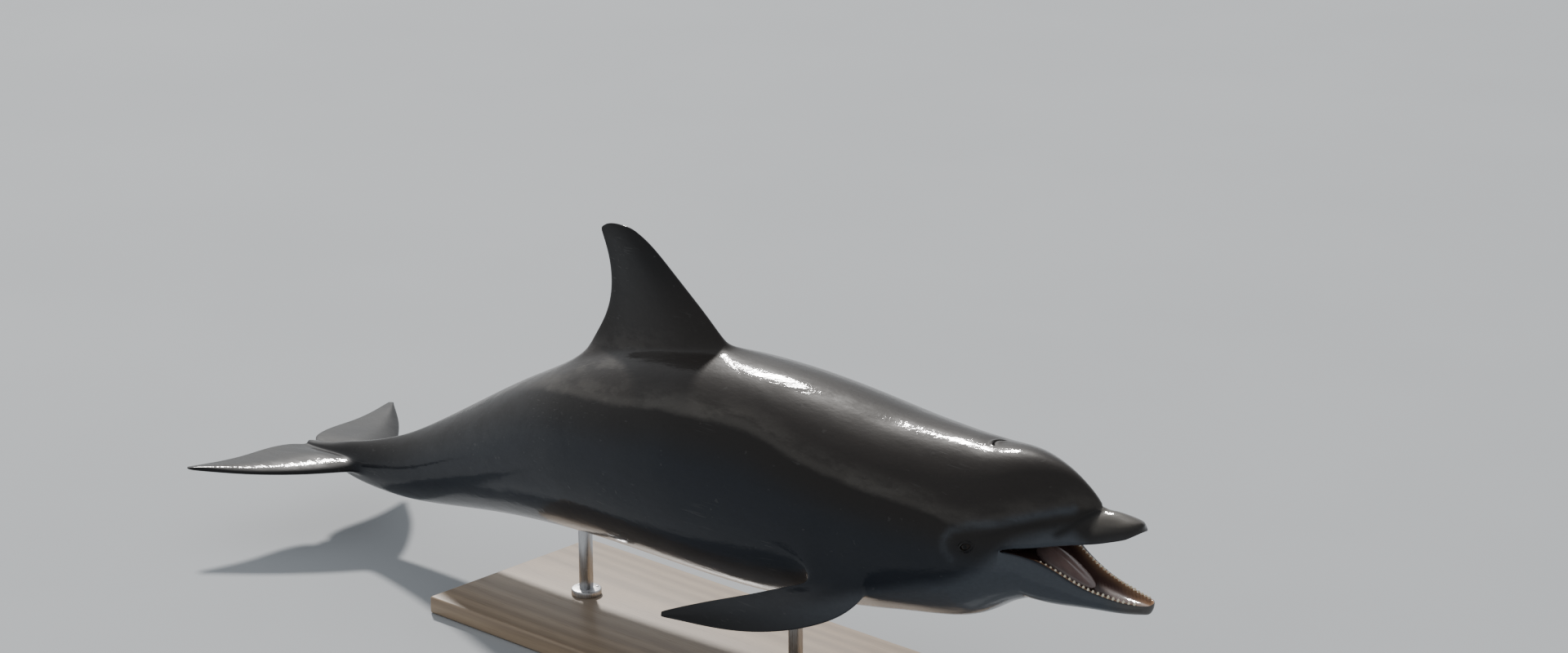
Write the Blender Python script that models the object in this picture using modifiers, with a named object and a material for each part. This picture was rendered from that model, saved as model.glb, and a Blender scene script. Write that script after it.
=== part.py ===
"""Life-size bottlenose dolphin with its mouth open, held on a display stand.

Metres, +Z up, +X towards the snout, +Y to the dolphin's left. The origin is the middle of the
underside of the stand's base. The body is first described straight, by the distance s back from
the tip of the upper jaw and the height z above the body's axis, and is then bent along its spine.
"""

import math

import bmesh
import bpy
import numpy as np
from mathutils import Matrix, Vector

GAP = 0.0003  # clearance between pieces that meet


def curve(*points):
    """A smooth monotone curve through (position, value) pairs, held level past its ends."""
    xs, ys = (np.array(column, float) for column in zip(*points))
    step = np.diff(xs)
    rise = np.diff(ys) / step
    slope = np.zeros(len(xs))
    slope[0], slope[-1] = rise[0], rise[-1]
    for i in range(1, len(xs) - 1):
        if rise[i - 1] * rise[i] > 0:
            before, after = 2 * step[i] + step[i - 1], step[i] + 2 * step[i - 1]
            slope[i] = (before + after) / (before / rise[i - 1] + after / rise[i])

    def value(x):
        x = min(max(x, xs[0]), xs[-1])
        i = min(int(np.searchsorted(xs, x, side="right")) - 1, len(step) - 1)
        t = (x - xs[i]) / step[i]
        return (
            ys[i] * (1 + 2 * t) * (1 - t) ** 2
            + step[i] * slope[i] * t * (1 - t) ** 2
            + ys[i + 1] * t * t * (3 - 2 * t)
            + step[i] * slope[i + 1] * t * t * (t - 1)
        )

    return value


def smooth_step(x):
    x = min(max(x, 0.0), 1.0)
    return x * x * (3 - 2 * x)


def mix(a, b, share):
    return tuple(p + (q - p) * share for p, q in zip(a, b))


# ---- Driving dimensions of the straight body, all against s -----------------------------------

GAPE = 0.300  # s of the corners of the mouth
GAPE_Z = -0.0325
PALATE_HEIGHT = 0.015  # of the hollow in the upper jaw
FLOOR_DEPTH = 0.020  # of the hollow in the lower jaw
EYE = (0.363, -0.013)  # s and z

top = curve(
    (0.004, -0.034), (0.012, -0.026), (0.037, -0.012), (0.075, 0.004), (0.098, 0.010),
    (0.106, 0.014), (0.114, 0.034), (0.137, 0.067), (0.169, 0.099), (0.204, 0.122),
    (0.241, 0.140), (0.289, 0.155), (0.354, 0.171), (0.422, 0.185), (0.500, 0.196),
    (0.620, 0.211), (0.780, 0.232), (0.950, 0.250), (1.100, 0.259), (1.250, 0.254),
    (1.400, 0.239), (1.550, 0.216), (1.750, 0.175), (1.950, 0.133), (2.150, 0.095),
    (2.330, 0.062), (2.460, 0.035), (2.560, 0.014), (2.600, 0.008),
)
bottom = curve(
    (0.300, -0.158), (0.360, -0.172), (0.450, -0.190), (0.550, -0.206), (0.700, -0.226),
    (0.880, -0.239), (1.050, -0.241), (1.200, -0.234), (1.380, -0.216), (1.550, -0.190),
    (1.750, -0.150), (1.950, -0.111), (2.150, -0.080), (2.330, -0.056), (2.460, -0.034),
    (2.560, -0.013), (2.600, -0.008),
)
half_width = curve(
    (0.004, 0.011), (0.020, 0.024), (0.045, 0.034), (0.075, 0.042), (0.110, 0.049),
    (0.145, 0.056), (0.172, 0.063), (0.190, 0.071), (0.210, 0.081), (0.240, 0.096),
    (0.270, 0.110), (0.300, 0.122), (0.360, 0.140), (0.420, 0.153), (0.500, 0.169),
    (0.620, 0.190), (0.780, 0.210), (0.950, 0.220), (1.100, 0.221), (1.250, 0.213),
    (1.400, 0.197), (1.550, 0.175), (1.750, 0.138), (1.950, 0.100), (2.150, 0.067),
    (2.330, 0.043), (2.460, 0.030), (2.560, 0.020), (2.600, 0.014),
)
widest_z = curve((0.004, -0.038), (0.075, -0.026), (0.120, -0.020), (0.180, -0.012), (0.300, 0.0))
squareness = curve((0.3, 2.1), (1.2, 2.05), (1.8, 1.9), (2.2, 1.7), (2.6, 1.8))
sweep = curve((0.004, 0.004), (0.045, 0.018), (0.075, 0.048), (0.103, 0.074), (0.125, 0.076),
              (0.170, 0.058), (0.210, 0.040), (0.255, 0.018), (0.300, 0.0))

upper_lip = curve((0.004, 0.015), (0.020, 0.027), (0.045, 0.036), (0.075, 0.044), (0.104, 0.050),
                  (0.138, 0.057), (0.165, 0.063), (0.205, 0.075), (0.250, 0.092), (0.300, 0.115))
lower_lip = curve((-0.008, 0.014), (0.004, 0.022), (0.020, 0.030), (0.045, 0.038), (0.075, 0.045),
                  (0.113, 0.053), (0.168, 0.061), (0.215, 0.071), (0.255, 0.086), (0.300, 0.115))
lip_z = curve((0.004, -0.042), (0.045, -0.047), (0.090, -0.047), (0.125, -0.045), (0.180, -0.040),
              (0.235, -0.036), (0.300, GAPE_Z))
jaw_dip = curve((0.000, 0.002), (0.060, 0.007), (0.140, 0.014), (0.220, 0.009), (0.300, 0.0))
chin_z = curve((-0.008, -0.060), (0.010, -0.072), (0.060, -0.088), (0.138, -0.114),
               (0.215, -0.142), (0.300, -0.158))

# Half sections run from the dorsal midline (0 degrees) to the ventral one (180 degrees).
FRONT_ANGLES = (0, 11, 31, 55, 80, 104, 128, 154, 180)
REAR_ANGLES = (0, 12, 38, 66, 90, 114, 140, 164, 180)
GATHERED = (0, 0, 0, 0, 4, 0, -11, -22, 0)  # degrees that the rows move in towards a flipper's root
BEAK_SWEEP = (0, 0.06, 0.30, 0.70, 1.0, 0)  # share of the sweep back of the melon's foot
LIP = 5  # index of the corner of the mouth in a half section
BELLY = 8  # index of the ventral midline

TRUNK_STATIONS = (
    0.300, 0.345, 0.400, 0.480, 0.600, 0.655, 0.710, 0.770, 0.930, 1.110, 1.200, 1.290, 1.380,
    1.470, 1.560, 1.720, 1.890, 2.060, 2.210, 2.340, 2.420, 2.500, 2.570,
)
DORSAL_SPAN = (1.110, 1.560)
FLIPPER_SPAN = (0.600, 0.770)
FLUKE_SPAN = (2.340, 2.570)
UPPER_JAW_STATIONS = (0.252, 0.204, 0.163, 0.132, 0.114, 0.101, 0.076, 0.042, 0.019)
LOWER_JAW_STATIONS = (0.250, 0.195, 0.140, 0.085, 0.038, 0.003)
THROAT_STATIONS = (0.335, 0.365)
# Profiles of the jaws' tips on the midline, s and z: over the front, round the lip, to the inside.
UPPER_TIP = ((0.0145, -0.0245), (0.0115, -0.0285), (0.0100, -0.0330), (0.0102, -0.0378),
             (0.0125, -0.0425), (0.0155, -0.0425), (0.0175, -0.0395))
LOWER_TIP = ((0.0000, -0.0515), (-0.0020, -0.0470), (-0.0040, -0.0450), (-0.0068, -0.0540),
             (-0.0042, -0.0635))
NOTCH_BULGE = 0.003  # of the cap between the flukes

# ---- Pose -------------------------------------------------------------------------------------

JAW_OPENING = 29  # degrees between the jaws
spine_pitch = curve((0.0, 18.5), (0.33, 17.3), (0.55, 6.0), (0.90, 2.0), (1.30, 7.3), (1.70, 17.3),
                    (2.05, 19.0), (2.25, 10.0), (2.45, 0.0), (2.70, -6.0))
SPINE_ANCHOR = 1.20  # s of the point of the axis that stands over the origin
AXIS_HEIGHT = 0.45  # height of that point above the floor


def spine_table():
    """s, x, z and pitch along the bent axis."""
    s = np.linspace(-0.02, 2.70, 545)
    pitch = np.radians([spine_pitch(v) for v in s])
    middle = (pitch[1:] + pitch[:-1]) / 2
    x = -np.concatenate([[0], np.cumsum(np.cos(middle) * np.diff(s))])
    z = -np.concatenate([[0], np.cumsum(np.sin(middle) * np.diff(s))])
    x -= np.interp(SPINE_ANCHOR, s, x)
    z += AXIS_HEIGHT - np.interp(SPINE_ANCHOR, s, z)
    return s, x, z, pitch


SPINE = spine_table()


def pitch_at(s):
    return np.interp(s, SPINE[0], SPINE[3])


def posed(point):
    """Carries (s, y, z) of the straight body to its place on the bent one."""
    s, y, z = point
    pitch = pitch_at(s)
    x = np.interp(s, SPINE[0], SPINE[1]) - math.sin(pitch) * z
    return Vector((x, y, np.interp(s, SPINE[0], SPINE[2]) + math.cos(pitch) * z))


def opened(point, share=1.0):
    """Turns a point of the lower jaw down about the corners of the mouth."""
    s, y, z = point
    turn = math.radians(JAW_OPENING * share)
    ds, dz = s - GAPE, z - GAPE_Z
    return (
        GAPE + ds * math.cos(turn) - dz * math.sin(turn),
        y,
        GAPE_Z + ds * math.sin(turn) + dz * math.cos(turn),
    )


# ---- Half cage of the body, at y <= 0 ---------------------------------------------------------


def row_angle(s, index):
    """Angle of one lengthwise row of the cage round the section at s, in degrees."""
    rear = smooth_step((s - 1.3) / 0.8)
    gather = smooth_step((s - 0.45) / 0.15) * smooth_step((0.92 - s) / 0.16)
    angle = (1 - rear) * FRONT_ANGLES[index] + rear * REAR_ANGLES[index]
    return math.radians(angle + gather * GATHERED[index])


def section_point(s, index):
    """Point of the trunk's half section, on the dolphin's right."""
    angle = row_angle(s, index)
    power = 2 / squareness(s)
    back = s + sweep(s) * BEAK_SWEEP[index] if index <= LIP else s
    across = abs(math.sin(angle)) ** power * half_width(back)
    edge = top(s) if angle < math.pi / 2 else bottom(s)
    point = (back, -across, widest_z(s) + (edge - widest_z(s)) * abs(math.cos(angle)) ** power)
    if index <= LIP:
        return point
    drop = smooth_step((0.48 - s) / 0.20) * (index - LIP) / (BELLY - LIP)
    return opened(point, 0.5 * drop)


def lower_lip_z(s):
    return lip_z(s) - jaw_dip(s)


def gape_section():
    """The section at the corners of the mouth, with the corner itself at its measured height."""
    points = [section_point(GAPE, i) for i in range(BELLY + 1)]
    points[LIP] = (GAPE, -upper_lip(GAPE), GAPE_Z)
    return points


def upper_jaw_loop(s):
    """Half loop round the upper jaw: over the melon or beak, round the lip, to the palate."""
    lip, z = upper_lip(s), lip_z(s)
    hollow = min(PALATE_HEIGHT, 0.4 * (top(s) - z))
    outer = [section_point(s, i) for i in range(LIP)]
    inner = ((s, -lip, z), (s, -lip * 0.74, z + 0.001), (s, -lip * 0.50, z + 0.8 * hollow))
    return [*outer, *inner, (s, 0, z + hollow)]


def lower_jaw_loop(s):
    """Half loop round the lower jaw: from the floor of the mouth over the lip to the chin."""
    lip, z, chin = lower_lip(s), lower_lip_z(s), chin_z(s)
    hollow = min(FLOOR_DEPTH, 0.4 * (z - chin))
    inner = ((s, 0, z - hollow), (s, -lip * 0.50, z - 0.8 * hollow), (s, -lip * 0.74, z - 0.001))
    side = z + 0.48 * (chin - z)
    outer = ((s, -lip, z), (s, -lip * 0.98, side), (s, -lip * 0.64, z + 0.86 * (chin - z)))
    return [opened(p) for p in (*inner, *outer, (s, 0, chin))]


class Cage:
    """Points and faces of the half body."""

    def __init__(self):
        self.points = []
        self.faces = []

    def row(self, points):
        """Adds points of the straight body, bent to the pose, and returns their indices."""
        first = len(self.points)
        self.points += [posed(p) for p in points]
        return list(range(first, len(self.points)))

    def bridge(self, a, b, closed=False):
        """Quads between two rows of the same length."""
        count = len(a)
        for i in range(count if closed else count - 1):
            j = (i + 1) % count
            self.faces.append((a[i], a[j], b[j], b[i]))

    def close_flat(self, row, bulge=0):
        """Closes a half loop whose two ends lie on the midline with a cap that bulges forwards."""
        first, last = self.points[row[0]], self.points[row[-1]]
        shares = [i / (len(row) - 1) for i in range(1, len(row) - 1)]
        self.close(row, [first.lerp(last, share) + Vector((bulge, 0, 0)) for share in shares])

    def close(self, row, middle):
        """Closes such a half loop against points of its own on the midline."""
        rungs = [row[0], *range(len(self.points), len(self.points) + len(middle)), row[-1]]
        self.points += middle
        for i in range(len(row) - 1):
            corners = (row[i], row[i + 1], rungs[i + 1], rungs[i])
            self.faces.append(tuple(dict.fromkeys(corners)))


# Each fin is a list of (leading edge, trailing edge, half thickness) from root to tip.
# Dorsal fin: s and z, and then its rounded tip as points from the leading edge back.
DORSAL_RINGS = (
    ((1.140, 0.276), (1.518, 0.256), 0.031),
    ((1.190, 0.330), (1.466, 0.312), 0.023),
    ((1.260, 0.403), (1.438, 0.378), 0.018),
    ((1.324, 0.474), (1.434, 0.452), 0.012),
)
DORSAL_TIP = ((1.360, 0.4990), (1.372, 0.5065), (1.385, 0.5125), (1.399, 0.5170),
              (1.414, 0.5195), (1.428, 0.5185), (1.4385, 0.5125), (1.4435, 0.5030))
# Flipper: distance behind the middle of its root and out from it, along the blade.
FLIPPER_ROOT = 0.680
FLIPPER_DROOP = 26  # degrees of the blade below the horizontal
FLIPPER_INCIDENCE = 12  # degrees that its leading edge is turned down
FLIPPER_SWEEP = 1.45  # of the middle of the blade, back for each step out
FLIPPER_RINGS = (
    ((-0.068, 0.016), (0.062, 0.034), 0.020),
    ((-0.040, 0.072), (0.104, 0.062), 0.017),
    ((0.040, 0.134), (0.158, 0.100), 0.013),
    ((0.160, 0.187), (0.240, 0.152), 0.009),
    ((0.296, 0.214), (0.315, 0.204), 0.004),
)
# Fluke: s and distance out from the midline.
FLUKE_RINGS = (
    ((2.362, 0.056), (2.600, 0.040), 0.020),
    ((2.404, 0.114), (2.614, 0.100), 0.0155),
    ((2.464, 0.182), (2.614, 0.172), 0.0115),
    ((2.540, 0.252), (2.626, 0.246), 0.008),
    ((2.620, 0.308), (2.643, 0.306), 0.004),
)
TIP_ROUNDING = 0.35  # of the last ring's chord


def foil(share):
    """Half thickness of a fin's section at this share of its chord, 1 at the thickest."""
    return math.sin(math.pi * share**0.6)


def chord_shares(count):
    return [0.05 + 0.83 * i / (count - 1) for i in range(count)]


def blade_ring(lead, trail, thickness, count, place, rounding=0.0):
    """Closed loop round a blade: leading edge, upper side, trailing edge, lower side."""

    def side_point(share, offset):
        along, out = mix(lead, trail, share)
        arch = 4 * rounding * share * (1 - share)
        along, out = along + arch * (lead[1] - trail[1]), out + arch * (trail[0] - lead[0])
        return place((along, out), offset * foil(share))

    shares = chord_shares(count)
    upper = [side_point(c, thickness) for c in shares]
    lower = [side_point(c, -thickness) for c in reversed(shares)]
    return [place(lead, 0), *upper, place(trail, 0), *lower]


def flipper_place(point, offset):
    back, out = point
    _, root_y, root_z = section_point(FLIPPER_ROOT, 6)
    droop = math.radians(FLIPPER_DROOP)
    offset += (back - FLIPPER_SWEEP * out) * math.tan(math.radians(FLIPPER_INCIDENCE))
    y = root_y - out * math.cos(droop) - offset * math.sin(droop)
    return (FLIPPER_ROOT + back, y, root_z - out * math.sin(droop) + offset * math.cos(droop))


def fluke_place(point, offset):
    s, out = point
    return (s, -out, offset)


def stations_in(span):
    """Indices of the first and last station of a span."""
    return TRUNK_STATIONS.index(span[0]), TRUNK_STATIONS.index(span[1])


def add_dorsal_fin(cage, rows):
    """Half of the dorsal fin, grown from the strip of faces beside the dorsal midline."""
    front, rear = stations_in(DORSAL_SPAN)
    sides = [rows[i][1] for i in range(front, rear + 1)]
    last = [rows[front][0], *sides, rows[rear][0]]
    for lead, trail, thickness in DORSAL_RINGS:
        ring = [(lead[0], 0, lead[1])]
        for share in chord_shares(len(sides)):
            s, z = mix(lead, trail, share)
            ring.append((s, -thickness * foil(share), z))
        ring.append((trail[0], 0, trail[1]))
        row = cage.row(ring)
        cage.bridge(last, row)
        last = row
    cage.bridge(last, cage.row([(s, 0, z) for s, z in DORSAL_TIP]))


def add_limb(cage, rows, span, middle, blade, place):
    """A flipper or a fluke, grown from a patch of faces two rows wide."""
    front, rear = stations_in(span)
    above = [rows[i][middle - 1] for i in range(front, rear + 1)]
    below = [rows[i][middle + 1] for i in range(front, rear + 1)]
    last = [rows[front][middle], *above, rows[rear][middle], *reversed(below)]
    count = len(above)
    for ring in blade:
        rounding = TIP_ROUNDING if ring is blade[-1] else 0
        row = cage.row(blade_ring(*ring, count, place, rounding))
        cage.bridge(last, row, closed=True)
        last = row
    upper, lower = last[1 : 1 + count], last[: 1 + count : -1]
    cage.bridge(upper, lower)
    cage.faces.append((last[0], lower[0], upper[0]))
    cage.faces.append((last[1 + count], upper[-1], lower[-1]))


def add_mouth(cage, gape):
    """Both jaws and the throat, from the half section at the corners of the mouth."""
    palate = cage.row(upper_jaw_loop(GAPE)[LIP + 1 :])
    floor = cage.row([(GAPE, 0, GAPE_Z - 0.026), (GAPE, -0.055, GAPE_Z - 0.021),
                      (GAPE, -0.094, GAPE_Z - 0.007)])
    last = gape[: LIP + 1] + palate
    for s in UPPER_JAW_STATIONS:
        row = cage.row(upper_jaw_loop(s))
        cage.bridge(row, last)
        last = row
    cage.close(last, [posed((s, 0, z)) for s, z in UPPER_TIP])

    last = floor + gape[LIP:]
    for s in LOWER_JAW_STATIONS:
        row = cage.row(lower_jaw_loop(s))
        cage.bridge(row, last)
        last = row
    cage.close(last, [posed(opened((s, 0, z))) for s, z in LOWER_TIP])

    rim = floor + [gape[LIP]] + palate
    last = rim
    for depth, s in enumerate(THROAT_STATIONS, 1):
        row = throat_row(cage, rim, s, 1 - 0.22 * depth)
        cage.bridge(last, row)
        last = row
    cage.close_flat(last)


def throat_row(cage, rim, s, narrowing):
    """A copy of the rim at the corners of the mouth, narrowed and moved back to s."""
    centre = posed((GAPE, 0, GAPE_Z))
    shift = posed((s, 0, GAPE_Z)) - centre
    first = len(cage.points)
    for index in rim:
        offset = (cage.points[index] - centre) * narrowing
        cage.points.append(centre + shift + offset)
    return list(range(first, len(cage.points)))


def body_cage():
    """The half cage of the whole body, open at the midline plane."""
    cage = Cage()
    rows = [cage.row(gape_section())]
    for s in TRUNK_STATIONS[1:]:
        rows.append(cage.row([section_point(s, i) for i in range(BELLY + 1)]))
    patches = {
        "dorsal": (range(*stations_in(DORSAL_SPAN)), (0,)),
        "flipper": (range(*stations_in(FLIPPER_SPAN)), (5, 6)),
        "fluke": (range(*stations_in(FLUKE_SPAN)), (3, 4)),
    }
    for i in range(len(rows) - 1):
        for j in range(BELLY):
            if not any(i in along and j in across for along, across in patches.values()):
                cage.faces.append((rows[i][j], rows[i][j + 1], rows[i + 1][j + 1], rows[i + 1][j]))
    cage.close_flat(rows[-1], -NOTCH_BULGE)
    add_dorsal_fin(cage, rows)
    add_limb(cage, rows, FLIPPER_SPAN, 6, FLIPPER_RINGS, flipper_place)
    add_limb(cage, rows, FLUKE_SPAN, 4, FLUKE_RINGS, fluke_place)
    add_mouth(cage, rows[0])
    return cage


# ---- Blender helpers --------------------------------------------------------------------------


def coordinates(mesh):
    flat = np.empty(len(mesh.vertices) * 3, np.float64)
    mesh.vertices.foreach_get("co", flat)
    return flat.reshape(-1, 3)


def evaluated_mesh(obj):
    graph = bpy.context.evaluated_depsgraph_get()
    graph.update()
    return bpy.data.meshes.new_from_object(obj.evaluated_get(graph))


def apply_modifiers(obj):
    """Replaces obj's mesh with its evaluated one."""
    mesh = evaluated_mesh(obj)
    obj.modifiers.clear()
    obj.data = mesh


def face_outwards(mesh):
    """Drops the points under the fins' roots and turns all faces outwards."""
    shell = bmesh.new()
    shell.from_mesh(mesh)
    bmesh.ops.delete(shell, geom=[v for v in shell.verts if not v.link_faces], context="VERTS")
    bmesh.ops.recalc_face_normals(shell, faces=shell.faces)
    if shell.calc_volume(signed=True) < 0:
        bmesh.ops.reverse_faces(shell, faces=shell.faces)
    shell.to_mesh(mesh)
    shell.free()


def new_object(name, mesh, collection=None):
    obj = bpy.data.objects.new(name, mesh)
    (collection or bpy.context.scene.collection).objects.link(obj)
    return obj


def whole_body(levels):
    """The body as one closed object. The cage is corrected so that the smooth surface passes
    through the places designed for its points."""
    cage = body_cage()
    mesh = bpy.data.meshes.new("body")
    mesh.from_pydata([tuple(p) for p in cage.points], [], cage.faces)
    face_outwards(mesh)
    body = new_object("body", mesh)
    mirror = body.modifiers.new("Mirror", "MIRROR")
    mirror.use_axis = (False, True, False)
    mirror.merge_threshold = 0.00005
    apply_modifiers(body)
    subdivision = body.modifiers.new("Subdivision", "SUBSURF")
    subdivision.levels = subdivision.render_levels = levels
    wanted = coordinates(body.data)
    for _ in range(2):
        reached = coordinates(evaluated_mesh(body))[: len(wanted)]
        corrected = coordinates(body.data) + 0.7 * (wanted - reached)
        body.data.vertices.foreach_set("co", corrected.ravel())
        body.data.update()
    apply_modifiers(body)
    return body


# ---- Cutting the body into its parts ----------------------------------------------------------


def frame_at(s, y=0.0, z=0.0, pitch=None):
    """Axes at a point of the body: x forwards along it, y to the left, z up."""
    pitch = pitch_at(s) if pitch is None else pitch
    return Matrix.Translation(posed((s, y, z))) @ Matrix.Rotation(-pitch, 4, "Y")


def solid(name, make, matrix=None):
    """An object from one of the bmesh.ops primitives."""
    shell = bmesh.new()
    make(shell)
    shell.transform(matrix or Matrix())
    mesh = bpy.data.meshes.new(name)
    shell.to_mesh(mesh)
    shell.free()
    return new_object(name, mesh)


def block(name, low, high, matrix=None):
    """A box between two corners, in the axes of matrix."""
    low, high = Vector(low), Vector(high)
    place = Matrix.Translation((low + high) / 2) @ Matrix.Diagonal((*(high - low), 1))
    return solid(name, lambda shell: bmesh.ops.create_cube(shell, size=1, matrix=place), matrix)


def combine(target, tool, operation, keep_tool=False):
    """Applies a Boolean of tool to target."""
    modifier = target.modifiers.new(operation, "BOOLEAN")
    modifier.operation = operation
    modifier.object = tool
    apply_modifiers(target)
    if not keep_tool:
        bpy.data.objects.remove(tool)


def split(piece, name, low, high, matrix):
    """Moves what lies inside a box from piece to a new object, with GAP left between them."""
    part = new_object(name, piece.data.copy())
    combine(part, block("box", low, high, matrix), "INTERSECT")
    margin = Vector((GAP, GAP, GAP))
    combine(piece, block("box", Vector(low) - margin, Vector(high) + margin, matrix), "DIFFERENCE")
    return part


NECK, WAIST, LOIN, STOCK, FLUKE_ROOT = 0.50, 0.85, 1.07, 1.61, 2.31  # s of the cross cuts
HINGE = 0.312  # s of the cut behind the lower jaw
REACH = 0.6  # half size of a cutting box, past the part on every side


def cut_body(body):
    """The body's parts by name. Cross cuts are made from the head back."""
    parts = {}
    bisector = pitch_at(GAPE) - math.radians(JAW_OPENING) / 2
    jaw_frame = frame_at(HINGE, 0, GAPE_Z, bisector)
    low, high = (0, -REACH, -REACH), (REACH, REACH, 0)
    parts["lower_jaw"] = split(body, "lower_jaw", low, high, jaw_frame)

    fin_front, fin_rear = posed((1.120, 0, 0.274)), posed((1.520, 0, 0.242))
    rise = math.atan2(fin_front.z - fin_rear.z, fin_front.x - fin_rear.x)
    fin_frame = Matrix.Translation(fin_rear) @ Matrix.Rotation(-rise, 4, "Y")
    low, high = (-0.1, -0.1, 0), (0.5, 0.1, REACH)
    parts["dorsal_fin"] = split(body, "dorsal_fin", low, high, fin_frame)

    for side, sign in (("right", 1), ("left", -1)):
        root = flipper_place((0, 0.036), 0)
        flipper_frame = frame_at(root[0], root[1] * sign, root[2])
        flipper_frame = flipper_frame @ Matrix.Rotation(sign * math.radians(FLIPPER_DROOP), 4, "X")
        ends = sorted((0, -sign * REACH))
        low, high = (-0.42, ends[0], -0.13), (0.16, ends[1], 0.13)
        name = "flipper_" + side
        parts[name] = split(body, name, low, high, flipper_frame)

        ends = sorted((-sign * 0.050, -sign * REACH))
        low, high = (-0.5, ends[0], -0.15), (0.02, ends[1], 0.15)
        name = "fluke_" + side
        parts[name] = split(body, name, low, high, frame_at(2.34))

    low, high = (0, -REACH, -REACH), (2 * REACH, REACH, REACH)
    for name, s in (("head", NECK), ("chest", WAIST), ("belly", LOIN), ("loin", STOCK),
                    ("tail_stock", FLUKE_ROOT)):
        parts[name] = split(body, name, low, high, frame_at(s))
    body.name = "fluke_root"
    parts["fluke_root"] = body
    return parts


# ---- Teeth, tongue and eyes -------------------------------------------------------------------

TEETH_IN_ROW = 20
UPPER_TEETH = (0.034, 0.232)  # s of the first and last tooth
LOWER_TEETH = (0.018, 0.232)
TOOTH_RADIUS = 0.0040  # where it is rooted
TOOTH_HEIGHT = 0.0105
TOOTH_ROOT = 0.005  # depth in the gum
TOOTH_ROW = 0.81  # of the lip's distance from the midline
TONGUE_SPAN = (0.136, 0.292)
TONGUE_HALF_WIDTH = 0.036
EYE_RADIUS = 0.016
EYE_DEPTH = 0.0125  # of the eye's centre under the skin


def place_cone(shell, base, tip):
    """Adds a tooth's cone from base to tip, sunk TOOTH_ROOT below its base."""
    direction = (tip - base).normalized()
    root = base - direction * TOOTH_ROOT
    length = (tip - root).length
    turn = direction.to_track_quat("Z", "Y").to_matrix().to_4x4()
    matrix = Matrix.Translation((root + tip) / 2) @ turn
    bmesh.ops.create_cone(shell, segments=4, radius1=TOOTH_RADIUS, radius2=0, depth=length,
                          cap_ends=True, matrix=matrix)


def teeth(span, lip, edge, height, move):
    """Both rows of a jaw's teeth. height is negative in the upper jaw."""
    shell = bmesh.new()
    for i in range(TEETH_IN_ROW):
        s = span[0] + (span[1] - span[0]) * i / (TEETH_IN_ROW - 1)
        size = 0.75 + 0.25 * math.sin(math.pi * (i + 1) / (TEETH_IN_ROW + 1))
        for sign in (-1, 1):
            y, z = sign * lip(s) * TOOTH_ROW, edge(s)
            tip = (s + 0.002, y + sign * 0.0015, z + height * size)
            place_cone(shell, posed(move((s, y, z))), posed(move(tip)))
    bmesh.ops.remove_doubles(shell, verts=shell.verts, dist=0.00001)
    mesh = bpy.data.meshes.new("teeth")
    shell.to_mesh(mesh)
    shell.free()
    return new_object("teeth", mesh)


def tongue_solid(name, margin):
    """The tongue, or with a margin the room for it in the lower jaw."""
    rear, front = TONGUE_SPAN[1], TONGUE_SPAN[0]
    middle, half_length = (rear + front) / 2, (rear - front) / 2

    def make(shell):
        bmesh.ops.create_uvsphere(shell, u_segments=12, v_segments=8, radius=1)
        for vertex in shell.verts:
            x, y, z = vertex.co
            s = middle - x * (half_length + margin)
            back = smooth_step((s - front) / (rear - front))
            height = 0.013 + 0.008 * back + margin
            point = (s, y * (TONGUE_HALF_WIDTH * (0.80 + 0.20 * back) + margin),
                     lower_lip_z(s) - 0.013 + z * height)
            vertex.co = posed(opened(point))
        bmesh.ops.triangulate(shell, faces=shell.faces, quad_method="FIXED")

    return solid(name, make)


def eye_solid(name, sign, radius):
    s, z = EYE
    centre = posed((s, sign * (half_width(s) - EYE_DEPTH), z))
    matrix = Matrix.Translation(centre) @ Matrix.Rotation(math.pi / 2, 4, "X")
    sphere = dict(u_segments=12, v_segments=6, radius=radius)
    return solid(name, lambda shell: bmesh.ops.create_uvsphere(shell, **sphere), matrix)


def fill_mouth(parts):
    """Sets the teeth in their jaws and the tongue on the floor of the mouth."""
    upper = teeth(UPPER_TEETH, upper_lip, lip_z, -TOOTH_HEIGHT, lambda point: point)
    combine(parts["head"], upper, "UNION")
    combine(parts["lower_jaw"], tongue_solid("room", GAP), "DIFFERENCE")
    lower = teeth(LOWER_TEETH, lower_lip, lower_lip_z, TOOTH_HEIGHT, opened)
    combine(parts["lower_jaw"], lower, "UNION")
    parts["tongue"] = tongue_solid("tongue", 0)


def set_eyes(parts):
    for side, sign in (("left", 1), ("right", -1)):
        name = "eye_" + side
        combine(parts["head"], eye_solid("socket", sign, EYE_RADIUS + GAP), "DIFFERENCE")
        parts[name] = eye_solid(name, sign, EYE_RADIUS)


# ---- Stand ------------------------------------------------------------------------------------

BASE_SIZE = (1.30, 0.50, 0.040)
BASE_BEVEL = 0.006
ROD_RADIUS = 0.016
ROD_STATIONS = {"stand_rod_front": 0.97, "stand_rod_rear": 1.66}
ROD_IN_BODY = 0.070
ROD_IN_BASE = 0.025
COLLAR_RADIUS = 0.034
COLLAR_HEIGHT = 0.014


def upright(name, x, low, high, radius, sides=16):
    """A vertical cylinder on the midline."""
    matrix = Matrix.Translation((x, 0, (low + high) / 2))
    shape = dict(segments=sides, radius1=radius, radius2=radius, depth=high - low, cap_ends=True)
    return solid(name, lambda shell: bmesh.ops.create_cone(shell, **shape), matrix)


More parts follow.
